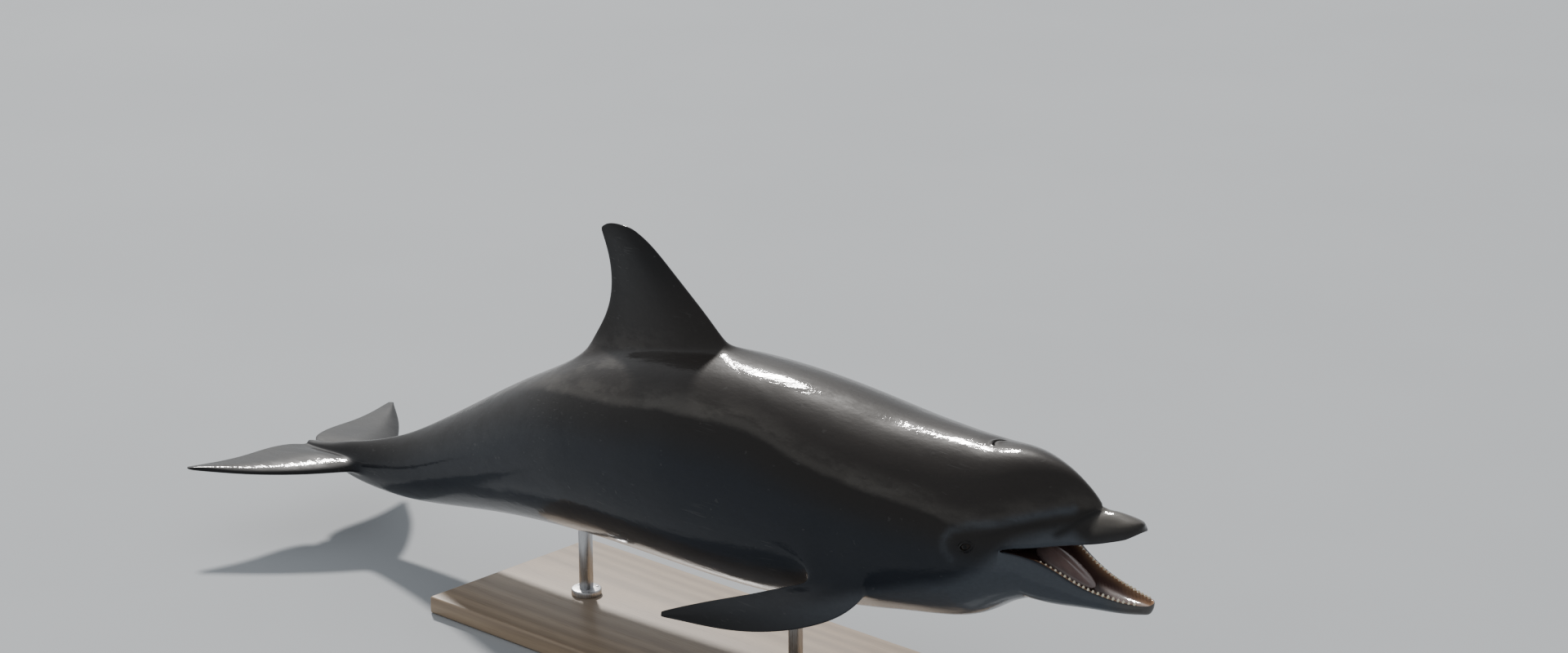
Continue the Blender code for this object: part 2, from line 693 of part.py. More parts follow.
def make_stand(body):
    """The base, and rods that pass through collars on it into sockets in the body."""
    length, width, height = BASE_SIZE
    base = block("stand_base", (-length / 2, -width / 2, 0), (length / 2, width / 2, height))
    bevel = base.modifiers.new("Bevel", "BEVEL")
    bevel.width = BASE_BEVEL
    bevel.segments = 1
    apply_modifiers(base)
    parts = {"stand_base": base}
    for name, s in ROD_STATIONS.items():
        skin = posed((s, 0, bottom(s)))
        low, high = height - ROD_IN_BASE, skin.z + ROD_IN_BODY
        hole = dict(radius=ROD_RADIUS + GAP)
        combine(base, upright("hole", skin.x, low - GAP, height + 0.1, **hole), "DIFFERENCE")
        combine(body, upright("socket", skin.x, skin.z - 0.1, high + GAP, **hole), "DIFFERENCE")
        parts[name] = upright(name, skin.x, low, high, ROD_RADIUS)
        collar_name = name.replace("rod", "collar")
        floor = height + GAP
        collar = upright(collar_name, skin.x, floor, floor + COLLAR_HEIGHT, COLLAR_RADIUS)
        combine(collar, upright("hole", skin.x, floor - 0.1, floor + 0.1, **hole), "DIFFERENCE")
        parts[collar_name] = collar
    return parts


# ---- Materials --------------------------------------------------------------------------------

COLOURS = {  # red, green, blue, roughness, metallic
    "skin": (0.16, 0.17, 0.18, 0.35, 0.0),
    "pale_skin": (0.42, 0.43, 0.44, 0.35, 0.0),
    "tongue": (0.50, 0.36, 0.33, 0.35, 0.0),
    "eye": (0.02, 0.015, 0.012, 0.10, 0.0),
    "stand_base": (0.42, 0.28, 0.16, 0.45, 0.0),
    "steel": (0.60, 0.60, 0.61, 0.30, 1.0),
}


def look_of(name):
    if name == "lower_jaw":
        return COLOURS["pale_skin"]
    if name in ("tongue", "stand_base"):
        return COLOURS[name]
    if name.startswith("eye"):
        return COLOURS["eye"]
    return COLOURS["steel" if name.startswith("stand") else "skin"]


def paint(obj):
    red, green, blue, roughness, metallic = look_of(obj.name)
    material = bpy.data.materials.new(obj.name)
    material.use_nodes = True
    shader = material.node_tree.nodes["Principled BSDF"]
    shader.inputs["Base Color"].default_value = (red, green, blue, 1)
    shader.inputs["Roughness"].default_value = roughness
    shader.inputs["Metallic"].default_value = metallic
    obj.data.materials.clear()
    obj.data.materials.append(material)


def main():
    for obj in list(bpy.data.objects):
        bpy.data.objects.remove(obj)
    body = whole_body(levels=1)
    stand = make_stand(body)
    parts = cut_body(body)
    fill_mouth(parts)
    set_eyes(parts)
    collection = bpy.data.collections.new("bottlenose_dolphin")
    bpy.context.scene.collection.children.link(collection)
    for name, obj in (parts | stand).items():
        bpy.context.scene.collection.objects.unlink(obj)
        collection.objects.link(obj)
        obj.name = name
        paint(obj)
        obj.data.shade_smooth()
        obj.data.set_sharp_from_angle(angle=math.radians(35))


main()
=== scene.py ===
"""Looks of the life-size bottlenose dolphin display model.

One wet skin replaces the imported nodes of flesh. It is grown from the same cage as they were, then
gets eyelids, blowhole, creases, gums and folds. Teeth, tongue and eyes are pieces of their own. The
stand gets oak and brushed steel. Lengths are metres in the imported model's frame, but for the
tables of the body's shape and markings, whose lengths are millimetres. On the straight body s runs
from the snout to the flukes, y to its left and z up.
"""

import math

import bmesh
import bpy
import numpy as np
from mathutils import Matrix, Vector


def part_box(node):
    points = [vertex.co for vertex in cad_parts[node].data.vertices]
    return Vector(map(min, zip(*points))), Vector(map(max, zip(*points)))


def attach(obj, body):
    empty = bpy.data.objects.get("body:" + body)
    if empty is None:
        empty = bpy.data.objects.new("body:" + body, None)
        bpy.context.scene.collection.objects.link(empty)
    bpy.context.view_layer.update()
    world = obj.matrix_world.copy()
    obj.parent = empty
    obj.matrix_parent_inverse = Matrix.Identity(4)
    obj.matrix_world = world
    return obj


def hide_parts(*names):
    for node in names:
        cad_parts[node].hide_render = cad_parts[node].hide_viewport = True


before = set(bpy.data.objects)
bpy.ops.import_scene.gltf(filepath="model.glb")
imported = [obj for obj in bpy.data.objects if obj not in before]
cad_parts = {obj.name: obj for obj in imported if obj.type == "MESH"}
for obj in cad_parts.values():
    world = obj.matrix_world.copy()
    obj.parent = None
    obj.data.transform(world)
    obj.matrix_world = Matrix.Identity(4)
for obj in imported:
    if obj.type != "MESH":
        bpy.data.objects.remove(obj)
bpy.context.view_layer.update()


def curve(*points):
    """A smooth monotone curve through (position, value) pairs, held level past its ends."""
    xs, ys = (np.array(column, float) for column in zip(*points))
    step = np.diff(xs)
    rise = np.diff(ys) / step
    slope = np.zeros(len(xs))
    slope[0], slope[-1] = rise[0], rise[-1]
    for i in range(1, len(xs) - 1):
        if rise[i - 1] * rise[i] > 0:
            before, after = 2 * step[i] + step[i - 1], step[i] + 2 * step[i - 1]
            slope[i] = (before + after) / (before / rise[i - 1] + after / rise[i])

    def value(x):
        x = min(max(x, xs[0]), xs[-1])
        i = min(int(np.searchsorted(xs, x, side="right")) - 1, len(step) - 1)
        t = (x - xs[i]) / step[i]
        return (
            ys[i] * (1 + 2 * t) * (1 - t) ** 2
            + step[i] * slope[i] * t * (1 - t) ** 2
            + ys[i + 1] * t * t * (3 - 2 * t)
            + step[i] * slope[i + 1] * t * t * (t - 1)
        )

    return value


def mm(*lengths):
    """Nested lengths in millimetres as metres."""
    return tuple(mm(*v) if isinstance(v, tuple) else v / 1000 for v in lengths)


def profile(*points):
    """A curve of one length against another, both in millimetres."""
    return curve(*mm(*points))


def ease(x, low, high):
    """0 at low and 1 at high, smoothly, for one value or many."""
    x = np.clip((x - low) / (high - low), 0, 1)
    return x * x * (3 - 2 * x)


def mix(a, b, share):
    return tuple(p + (q - p) * share for p, q in zip(a, b))


# ---- Driving dimensions of the straight body, all against s ----

GAPE = 0.300  # s of the corners of the mouth
GAPE_Z = -0.0325
GAPE_FLOOR = ((0, -0.026), (-0.055, -0.021), (-0.094, -0.007))  # y, and z from the gape's
PALATE_HEIGHT = 0.015  # of the hollow in the upper jaw
FLOOR_DEPTH = 0.020  # of the hollow in the lower jaw
INNER_LIP, INNER_MOUTH = 0.74, 0.50  # of the lip's distance from the midline
THROAT_NARROWING = 0.22  # from each of its sections to the next
EYE = (0.363, -0.013)  # s and z

top = profile(
    (4, -34), (12, -26), (37, -12), (75, 4), (98, 10), (106, 14), (114, 34), (137, 67),
    (169, 99), (204, 122), (241, 140), (289, 155), (354, 171), (422, 185), (500, 196),
    (620, 211), (780, 232), (950, 250), (1100, 259), (1250, 254), (1400, 239), (1550, 216),
    (1750, 175), (1950, 133), (2150, 95), (2330, 62), (2460, 35), (2560, 14), (2600, 8)
)
bottom = profile(
    (300, -158), (360, -172), (450, -190), (550, -206), (700, -226), (880, -239), (1050, -241),
    (1200, -234), (1380, -216), (1550, -190), (1750, -150), (1950, -111), (2150, -80),
    (2330, -56), (2460, -34), (2560, -13), (2600, -8)
)
half_width = profile(
    (4, 11), (20, 24), (45, 34), (75, 42), (110, 49), (145, 56), (172, 63), (190, 71),
    (210, 81), (240, 96), (270, 110), (300, 122), (360, 140), (420, 153), (500, 169),
    (620, 190), (780, 210), (950, 220), (1100, 221), (1250, 213), (1400, 197), (1550, 175),
    (1750, 138), (1950, 100), (2150, 67), (2330, 43), (2460, 30), (2560, 20), (2600, 14)
)
widest_z = profile((4, -38), (75, -26), (120, -20), (180, -12), (300, 0))
squareness = curve((0.3, 2.1), (1.2, 2.05), (1.8, 1.9), (2.2, 1.7), (2.6, 1.8))
sweep = profile(
    (4, 4), (45, 18), (75, 48), (103, 74), (125, 76), (170, 58), (210, 40), (255, 18), (300, 0)
)

upper_lip = profile(
    (4, 15), (20, 27), (45, 36), (75, 44), (104, 50), (138, 57), (165, 63), (205, 75),
    (250, 92), (300, 115)
)
lower_lip = profile(
    (-8, 14), (4, 22), (20, 30), (45, 38), (75, 45), (113, 53), (168, 61), (215, 71), (255, 86),
    (300, 115)
)
lip_z = profile((4, -42), (45, -47), (90, -47), (125, -45), (180, -40), (235, -36), (300, -32.5))
jaw_dip = profile((0, 2), (60, 7), (140, 14), (220, 9), (300, 0))
chin_z = profile((-8, -60), (10, -72), (60, -88), (138, -114), (215, -142), (300, -158))

# Half sections run from the dorsal midline (0 degrees) to the ventral one (180 degrees).
FRONT_ANGLES = (0, 11, 31, 55, 80, 104, 128, 154, 180)
REAR_ANGLES = (0, 12, 38, 66, 90, 114, 140, 164, 180)
GATHERED = (0, 0, 0, 0, 4, 0, -11, -22, 0)  # degrees that the rows move in towards a flipper's root
BEAK_SWEEP = (0, 0.06, 0.30, 0.70, 1.0, 0)  # share of the sweep back of the melon's foot
LIP = 5  # index of the corner of the mouth in a half section
BELLY = 8  # index of the ventral midline

TRUNK_STATIONS = mm(
    300, 345, 400, 480, 600, 655, 710, 770, 930, 1110, 1200, 1290, 1380, 1470, 1560, 1720, 1890,
    2060, 2210, 2340, 2420, 2500, 2570
)
DORSAL_SPAN = mm(1110, 1560)
FLIPPER_SPAN = mm(600, 770)
FLUKE_SPAN = mm(2340, 2570)
UPPER_JAW_STATIONS = mm(252, 204, 163, 132, 114, 101, 76, 42, 19)
LOWER_JAW_STATIONS = mm(250, 195, 140, 85, 38, 3)
THROAT_STATIONS = mm(335, 365)
# Profiles of the jaws' tips on the midline, s and z: over the front, round the lip, to the inside.
UPPER_TIP = mm(
    (14.5, -24.5), (11.5, -28.5), (10, -33), (10.2, -37.8), (12.5, -42.5), (15.5, -42.5),
    (17.5, -39.5)
)
LOWER_TIP = mm((0, -51.5), (-2, -47), (-4, -45), (-6.8, -54), (-4.2, -63.5))
NOTCH_BULGE = 0.003  # of the cap between the flukes

# ---- Pose ----

JAW_OPENING = 29  # degrees between the jaws
spine_pitch = curve((0.0, 18.5), (0.33, 17.3), (0.55, 6.0), (0.90, 2.0), (1.30, 7.3), (1.70, 17.3),
                    (2.05, 19.0), (2.25, 10.0), (2.45, 0.0), (2.70, -6.0))
SPINE_ANCHOR = 1.20  # s of the point of the axis that stands over the origin
AXIS_HEIGHT = 0.45  # height of that point above the floor


def spine_table():
    """s, x, z and pitch along the bent axis."""
    s = np.linspace(-0.02, 2.70, 545)
    pitch = np.radians([spine_pitch(v) for v in s])
    middle = (pitch[1:] + pitch[:-1]) / 2
    x = -np.concatenate([[0], np.cumsum(np.cos(middle) * np.diff(s))])
    z = -np.concatenate([[0], np.cumsum(np.sin(middle) * np.diff(s))])
    x -= np.interp(SPINE_ANCHOR, s, x)
    z += AXIS_HEIGHT - np.interp(SPINE_ANCHOR, s, z)
    return s, x, z, pitch


SPINE = spine_table()


def pitch_at(s):
    return np.interp(s, SPINE[0], SPINE[3])


def posed(point):
    """Carries (s, y, z) of the straight body to its place on the bent one."""
    s, y, z = point
    pitch = pitch_at(s)
    x = np.interp(s, SPINE[0], SPINE[1]) - math.sin(pitch) * z
    return Vector((x, y, np.interp(s, SPINE[0], SPINE[2]) + math.cos(pitch) * z))


def swung(s, z, share):
    """Places turned about the corners of the mouth by a share of the jaws' opening."""
    turn = np.radians(JAW_OPENING * share)
    ds, dz = s - GAPE, z - GAPE_Z
    return (GAPE + ds * np.cos(turn) - dz * np.sin(turn),
            GAPE_Z + ds * np.sin(turn) + dz * np.cos(turn))


def opened(point, share=1.0):
    """A point of the shut lower jaw, turned down with it."""
    s, z = swung(point[0], point[2], share)
    return s, point[1], z


# ---- Half cage of the body, at y <= 0 ----


def row_angle(s, index):
    """Angle of one lengthwise row of the cage round the section at s, in degrees."""
    rear = ease(s, 1.3, 2.1)
    gather = ease(s, 0.45, 0.60) * ease(s, 0.92, 0.76)
    angle = (1 - rear) * FRONT_ANGLES[index] + rear * REAR_ANGLES[index]
    return math.radians(angle + gather * GATHERED[index])


def section_point(s, index):
    """Point of the trunk's half section, on the dolphin's right."""
    angle = row_angle(s, index)
    power = 2 / squareness(s)
    back = s + sweep(s) * BEAK_SWEEP[index] if index <= LIP else s
    across = abs(math.sin(angle)) ** power * half_width(back)
    edge = top(s) if angle < math.pi / 2 else bottom(s)
    point = (back, -across, widest_z(s) + (edge - widest_z(s)) * abs(math.cos(angle)) ** power)
    if index <= LIP:
        return point
    drop = ease(s, 0.48, 0.28) * (index - LIP) / (BELLY - LIP)
    return opened(point, 0.5 * drop)


def lower_lip_z(s):
    return lip_z(s) - jaw_dip(s)


def gape_section():
    """The section at the corners of the mouth, with the corner itself at its measured height."""
    points = [section_point(GAPE, i) for i in range(BELLY + 1)]
    points[LIP] = (GAPE, -upper_lip(GAPE), GAPE_Z)
    return points


def upper_jaw_loop(s):
    """Half loop round the upper jaw: over the melon or beak, round the lip, to the palate."""
    lip, z = upper_lip(s), lip_z(s)
    hollow = min(PALATE_HEIGHT, 0.4 * (top(s) - z))
    outer = [section_point(s, i) for i in range(LIP)]
    inner = ((s, -lip, z), (s, -lip * INNER_LIP, z + 0.001),
             (s, -lip * INNER_MOUTH, z + 0.8 * hollow))
    return [*outer, *inner, (s, 0, z + hollow)]


def lower_jaw_loop(s):
    """Half loop round the lower jaw: from the floor of the mouth over the lip to the chin."""
    lip, z, chin = lower_lip(s), lower_lip_z(s), chin_z(s)
    hollow = min(FLOOR_DEPTH, 0.4 * (z - chin))
    inner = ((s, 0, z - hollow), (s, -lip * INNER_MOUTH, z - 0.8 * hollow),
             (s, -lip * INNER_LIP, z - 0.001))
    side = z + 0.48 * (chin - z)
    outer = ((s, -lip, z), (s, -lip * 0.98, side), (s, -lip * 0.64, z + 0.86 * (chin - z)))
    return [opened(p) for p in (*inner, *outer, (s, 0, chin))]


class Cage:
    """Points and faces of the half body."""

    def __init__(self):
        self.points = []
        self.lining = []  # 1 inside the mouth, 0 outside
        self.faces = []

    def add(self, points, lining=0):
        """Adds points and returns their indices."""
        first = len(self.points)
        self.points += points
        self.lining += lining if isinstance(lining, list) else [lining] * len(points)
        return list(range(first, len(self.points)))

    def row(self, points, lining=0):
        """Adds points of the straight body, bent to the pose."""
        return self.add([posed(p) for p in points], lining)

    def bridge(self, a, b, closed=False):
        """Quads between two rows of the same length."""
        count = len(a)
        for i in range(count if closed else count - 1):
            j = (i + 1) % count
            self.faces.append((a[i], a[j], b[j], b[i]))

    def close_flat(self, row, bulge=0):
        """Closes a half loop whose two ends lie on the midline with a cap that bulges forwards."""
        first, last = self.points[row[0]], self.points[row[-1]]
        shares = [i / (len(row) - 1) for i in range(1, len(row) - 1)]
        self.close(row, [first.lerp(last, share) + Vector((bulge, 0, 0)) for share in shares])

    def close(self, row, middle):
        """Closes such a half loop against points of its own on the midline."""
        rungs = [row[0], *self.add(middle, [self.lining[i] for i in row[1:-1]]), row[-1]]
        for i in range(len(row) - 1):
            corners = (row[i], row[i + 1], rungs[i + 1], rungs[i])
            self.faces.append(tuple(dict.fromkeys(corners)))


# Each fin is a list of (leading edge, trailing edge, half thickness) from root to tip.
# Dorsal fin: s and z, and then its rounded tip as points from the leading edge back.
DORSAL_RINGS = mm(
    ((1140, 276), (1518, 256), 31), ((1190, 330), (1466, 312), 23), ((1260, 403), (1438, 378),
    18), ((1324, 474), (1434, 452), 12)
)
DORSAL_TIP = mm(
    (1360, 499), (1372, 506.5), (1385, 512.5), (1399, 517), (1414, 519.5), (1428, 518.5),
    (1438.5, 512.5), (1443.5, 503)
)
# Flipper: distance behind the middle of its root and out from it, along the blade.
FLIPPER_ROOT = 0.680
FLIPPER_DROOP = 26  # degrees of the blade below the horizontal
FLIPPER_INCIDENCE = 12  # degrees that its leading edge is turned down
FLIPPER_SWEEP = 1.45  # of the middle of the blade, back for each step out
FLIPPER_RINGS = mm(
    ((-68, 16), (62, 34), 20), ((-40, 72), (104, 62), 17), ((40, 134), (158, 100), 13),
    ((160, 187), (240, 152), 9), ((296, 214), (315, 204), 4)
)
# Fluke: s and distance out from the midline.
FLUKE_RINGS = mm(
    ((2362, 56), (2600, 40), 20), ((2404, 114), (2614, 100), 15.5), ((2464, 182), (2614, 172),
    11.5), ((2540, 252), (2626, 246), 8), ((2620, 308), (2643, 306), 4)
)
TIP_ROUNDING = 0.35  # of the last ring's chord


def foil(share):
    """Half thickness of a fin's section at this share of its chord, 1 at the thickest."""
    return math.sin(math.pi * share**0.6)


def chord_shares(count):
    """Where the points of one side of a fin lie along its chord."""
    return [0.05 + 0.83 * i / (count - 1) for i in range(count)]


def blade_ring(lead, trail, thickness, count, place, rounding=0.0):
    """Closed loop round a blade: leading edge, upper side, trailing edge, lower side."""

    def side_point(share, offset):
        along, out = mix(lead, trail, share)
        arch = 4 * rounding * share * (1 - share)
        along, out = along + arch * (lead[1] - trail[1]), out + arch * (trail[0] - lead[0])
        return place((along, out), offset * foil(share))

    shares = chord_shares(count)
    upper = [side_point(c, thickness) for c in shares]
    lower = [side_point(c, -thickness) for c in reversed(shares)]
    return [place(lead, 0), *upper, place(trail, 0), *lower]


def flipper_place(point, offset):
    """A point of the flipper's blade, which droops and is turned down at its leading edge."""
    back, out = point
    _, root_y, root_z = section_point(FLIPPER_ROOT, 6)
    droop = math.radians(FLIPPER_DROOP)
    offset += (back - FLIPPER_SWEEP * out) * math.tan(math.radians(FLIPPER_INCIDENCE))
    y = root_y - out * math.cos(droop) - offset * math.sin(droop)
    return (FLIPPER_ROOT + back, y, root_z - out * math.sin(droop) + offset * math.cos(droop))


def fluke_place(point, offset):
    s, out = point
    return (s, -out, offset)


def stations_in(span):
    """Indices of the first and last station of a span."""
    return TRUNK_STATIONS.index(span[0]), TRUNK_STATIONS.index(span[1])


def add_dorsal_fin(cage, rows):
    """Half of the dorsal fin, grown from the strip of faces beside the dorsal midline."""
    front, rear = stations_in(DORSAL_SPAN)
    sides = [rows[i][1] for i in range(front, rear + 1)]
    last = [rows[front][0], *sides, rows[rear][0]]
    for lead, trail, thickness in DORSAL_RINGS:
        ring = [(lead[0], 0, lead[1])]
        for share in chord_shares(len(sides)):
            s, z = mix(lead, trail, share)
            ring.append((s, -thickness * foil(share), z))
        ring.append((trail[0], 0, trail[1]))
        row = cage.row(ring)
        cage.bridge(last, row)
        last = row
    cage.bridge(last, cage.row([(s, 0, z) for s, z in DORSAL_TIP]))


def add_limb(cage, rows, span, middle, blade, place):
    """A flipper or a fluke, grown from a patch of faces two rows wide."""
    front, rear = stations_in(span)
    above = [rows[i][middle - 1] for i in range(front, rear + 1)]
    below = [rows[i][middle + 1] for i in range(front, rear + 1)]
    last = [rows[front][middle], *above, rows[rear][middle], *reversed(below)]
    count = len(above)
    for ring in blade:
        rounding = TIP_ROUNDING if ring is blade[-1] else 0
        row = cage.row(blade_ring(*ring, count, place, rounding))
        cage.bridge(last, row, closed=True)
        last = row
    upper, lower = last[1 : 1 + count], last[: 1 + count : -1]
    cage.bridge(upper, lower)
    cage.faces.append((last[0], lower[0], upper[0]))
    cage.faces.append((last[1 + count], upper[-1], lower[-1]))


def add_jaw(cage, last, stations, loop, lining, tip):
    """Carries a half loop forwards from the gape and closes it at the jaw's tip."""
    for s in stations:
        row = cage.row(loop(s), lining)
        cage.bridge(row, last)
        last = row
    cage.close(last, [posed(p) for p in tip])


def add_mouth(cage, gape):
    """Both jaws and the throat, from the half section at the corners of the mouth."""
    palate = cage.row(upper_jaw_loop(GAPE)[LIP + 1 :], 1)
    floor = cage.row([(GAPE, y, GAPE_Z + z) for y, z in GAPE_FLOOR], 1)
    add_jaw(cage, gape[: LIP + 1] + palate, UPPER_JAW_STATIONS, upper_jaw_loop,
            [0] * (LIP + 1) + [1] * 3, [(s, 0, z) for s, z in UPPER_TIP])
    add_jaw(cage, floor + gape[LIP:], LOWER_JAW_STATIONS, lower_jaw_loop,
            [1] * 3 + [0] * 4, [opened((s, 0, z)) for s, z in LOWER_TIP])
    rim = floor + [gape[LIP]] + palate
    centre = posed((GAPE, 0, GAPE_Z))
    last = rim
    for depth, s in enumerate(THROAT_STATIONS, 1):
        moved = posed((s, 0, GAPE_Z))
        narrowed = [moved + (cage.points[i] - centre) * (1 - THROAT_NARROWING * depth) for i in rim]
        row = cage.add(narrowed, 1)
        cage.bridge(last, row)
        last = row
    cage.close_flat(last)


def body_cage():
    """The half cage of the whole body, open at the midline plane."""
    cage = Cage()
    rows = [cage.row(gape_section())]
    for s in TRUNK_STATIONS[1:]:
        rows.append(cage.row([section_point(s, i) for i in range(BELLY + 1)]))
    roots = ((DORSAL_SPAN, (0,)), (FLIPPER_SPAN, (5, 6)), (FLUKE_SPAN, (3, 4)))
    roots = [(range(*stations_in(span)), across) for span, across in roots]
    for i, (row, after) in enumerate(zip(rows, rows[1:])):
        for j in range(BELLY):
            if not any(i in along and j in across for along, across in roots):
                cage.faces.append((row[j], row[j + 1], after[j + 1], after[j]))
    cage.close_flat(rows[-1], -NOTCH_BULGE)
    add_dorsal_fin(cage, rows)
    add_limb(cage, rows, FLIPPER_SPAN, 6, FLIPPER_RINGS, flipper_place)
    add_limb(cage, rows, FLUKE_SPAN, 4, FLUKE_RINGS, fluke_place)
    add_mouth(cage, rows[0])
    return cage


# ---- Meshes ----


def coordinates(mesh, what="co"):
    """The places or the normals of a mesh's points."""
    flat = np.empty(len(mesh.vertices) * 3, np.float64)
    mesh.vertices.foreach_get(what, flat)
    return flat.reshape(-1, 3)


def set_coordinates(mesh, points):
    mesh.vertices.foreach_set("co", points.ravel())
    mesh.update()


def get_values(mesh, name):
    values = np.empty(len(mesh.vertices), np.float32)
    mesh.attributes[name].data.foreach_get("value", values)
    return values.astype(float)


def set_values(mesh, name, values):
    layer = mesh.attributes.get(name) or mesh.attributes.new(name, "FLOAT", "POINT")
    layer.data.foreach_set("value", np.asarray(values, np.float32))


class Edited:
    """A mesh as a bmesh for the length of a with block."""

    def __init__(self, mesh):
        self.mesh = mesh
        self.shell = bmesh.new()

    def __enter__(self):
        self.shell.from_mesh(self.mesh)
        self.shell.verts.ensure_lookup_table()
        return self.shell

    def __exit__(self, *problem):
        self.shell.to_mesh(self.mesh)
        self.shell.free()


def evaluated_mesh(obj):
    graph = bpy.context.evaluated_depsgraph_get()
    graph.update()
    return bpy.data.meshes.new_from_object(obj.evaluated_get(graph))


def apply_modifiers(obj):
    """Replaces obj's mesh with its evaluated one."""
    mesh = evaluated_mesh(obj)
    obj.modifiers.clear()
    obj.data = mesh


def new_object(name, data):
    obj = bpy.data.objects.new(name, data)
    bpy.context.scene.collection.objects.link(obj)
    return obj


def mesh_object(name, make):
    """An object from a bmesh that make() fills."""
    mesh = bpy.data.meshes.new(name)
    with Edited(mesh) as shell:
        make(shell)
    return new_object(name, mesh)


def face_outwards(mesh):
    """Drops the points under the fins' roots and turns all faces outwards."""
    with Edited(mesh) as shell:
        bmesh.ops.delete(shell, geom=[v for v in shell.verts if not v.link_faces], context="VERTS")
        bmesh.ops.recalc_face_normals(shell, faces=shell.faces)
        if shell.calc_volume(signed=True) < 0:
            bmesh.ops.reverse_faces(shell, faces=shell.faces)


SKIN_LEVELS = 3
CAGE_ROUNDS, CAGE_STEP = 2, 0.7  # of fitting the cage, each by this share of what is left


def whole_body():
    """The body as one closed surface that passes through the places designed for its cage."""
    cage = body_cage()
    mesh = bpy.data.meshes.new("skin")
    mesh.from_pydata([tuple(p) for p in cage.points], [], cage.faces)
    set_values(mesh, "lining", cage.lining)
    face_outwards(mesh)
    body = new_object("skin", mesh)
    mirror = body.modifiers.new("Mirror", "MIRROR")
    mirror.use_axis = (False, True, False)
    mirror.merge_threshold = 0.00005
    apply_modifiers(body)
    subdivision = body.modifiers.new("Subdivision", "SUBSURF")
    subdivision.levels = subdivision.render_levels = SKIN_LEVELS
    wanted = coordinates(body.data)
    for _ in range(CAGE_ROUNDS):
        reached = coordinates(evaluated_mesh(body))[: len(wanted)]
        set_coordinates(body.data, coordinates(body.data) + CAGE_STEP * (wanted - reached))
    apply_modifiers(body)
    return body


def smooth(shell, verts, rounds, axes="xyz"):
    """Moves points towards the middle of their neighbours, along some axes."""
    for _ in range(rounds):
        bmesh.ops.smooth_vert(shell, verts=verts, factor=0.5,
                              **{"use_axis_" + axis: True for axis in axes})


def refine(mesh, near, rounds):
    """Splits the faces whose points are all near() something, and evens out the new points."""
    with Edited(mesh) as shell:
        for _ in range(rounds):
            chosen = near(np.array([v.co for v in shell.verts]))
            edges = [e for e in shell.edges if all(chosen[v.index] for v in e.verts)]
            split = bmesh.ops.subdivide_edges(shell, edges=edges, cuts=1, use_grid_fill=True)
            smooth(shell, [v for v in split["geom_inner"] if isinstance(v, bmesh.types.BMVert)], 2)
            shell.verts.index_update()


# ---- Where a point of the skin lies on the straight body ----

IN_JAW = 0.99  # share of the jaws' opening from which a point is the lower jaw's


def along(line, s):
    """Values of one of the driving curves at many places."""
    table = np.linspace(-0.05, 2.75, 1401)
    return np.interp(s, table, [line(v) for v in table])


def hump(x, width):
    """A soft bump, 1 at its middle."""
    return np.exp(-((x / width) ** 2))


def straightened(points):
    """s, y and z of the straight body for points of the bent one."""
    table, x, z, _ = SPINE
    s = np.interp(-points[:, 0], -x, table)
    for _ in range(12):
        turn = pitch_at(s)
        ahead = points[:, 0] - np.interp(s, table, x)
        above = points[:, 2] - np.interp(s, table, z)
        s = s - ahead * np.cos(turn) - above * np.sin(turn)
    return s, points[:, 1], above * np.cos(turn) - ahead * np.sin(turn)


def closed(s, z):
    """Where points lie with the mouth shut, and how far each one belongs to the lower jaw."""
    angle = np.degrees(np.arctan2(GAPE_Z - z, GAPE - s))
    share = np.where(angle > JAW_OPENING / 2, 1 - ease(angle, 75, 170), 0)
    return *swung(s, z, -share), share


def distance_to_line(s, z, *corners):
    """Distance in the (s, z) plane to a line through some corners."""
    nearest = np.full(len(s), np.inf)
    for (s0, z0), (s1, z1) in zip(corners, corners[1:]):
        run, rise = s1 - s0, z1 - z0
        t = np.clip(((s - s0) * run + (z - z0) * rise) / (run * run + rise * rise), 0, 1)
        nearest = np.minimum(nearest, np.hypot(s - s0 - t * run, z - z0 - t * rise))
    return nearest


# ---- Relief of the skin ----

EYE_RADIUS = 0.0155
EYE_DEPTH = 0.0125  # of the eye's centre under the skin
LID_THICKNESS = 0.0016
EYE_OPENING = (0.0125, 0.0066)  # half length and half height between the lids
LID_REACH = 0.036  # from the eye's centre
LID_TILT = 0.12  # radians
BLOWHOLE = 0.352  # s
BLOWHOLE_HALF_WIDTH = 0.019
EAR = (0.428, -0.016)  # s and z of the ear's pinhole
NAVEL, GENITAL_SLIT, ANUS = 1.24, (1.585, 1.660), (1.735, 1.755)  # s
UPPER_ROW, LOWER_ROW = 0.75, 0.81  # of the teeth, as shares of the lip's distance
TEETH_IN_ROW = 20
UPPER_TEETH = (0.044, 0.232)  # s of the first and last tooth
LOWER_TEETH = (0.018, 0.232)


def eye_frame(sign):
    """Axes at an eye's centre: x forwards, y out of the head and z up."""
    s, z = EYE
    pitch = pitch_at(s)
    forwards = Vector((math.cos(pitch), 0, math.sin(pitch)))
    slope = (half_width(s + 0.02) - half_width(s - 0.02)) / 0.04
    outwards = (Vector((0, sign, 0)) + forwards * slope).normalized()
    forwards = (forwards - outwards * forwards.dot(outwards)).normalized()
    up = forwards.cross(outwards) * sign
    centre = posed((s, sign * half_width(s), z)) - outwards * EYE_DEPTH
    axes = Matrix((forwards, outwards, up)).transposed().to_4x4()
    return Matrix.Translation(centre) @ axes


def carried(matrix, points):
    """Many points at once, moved by a matrix."""
    matrix = np.array(matrix)
    return points @ matrix[:3, :3].T + matrix[:3, 3]


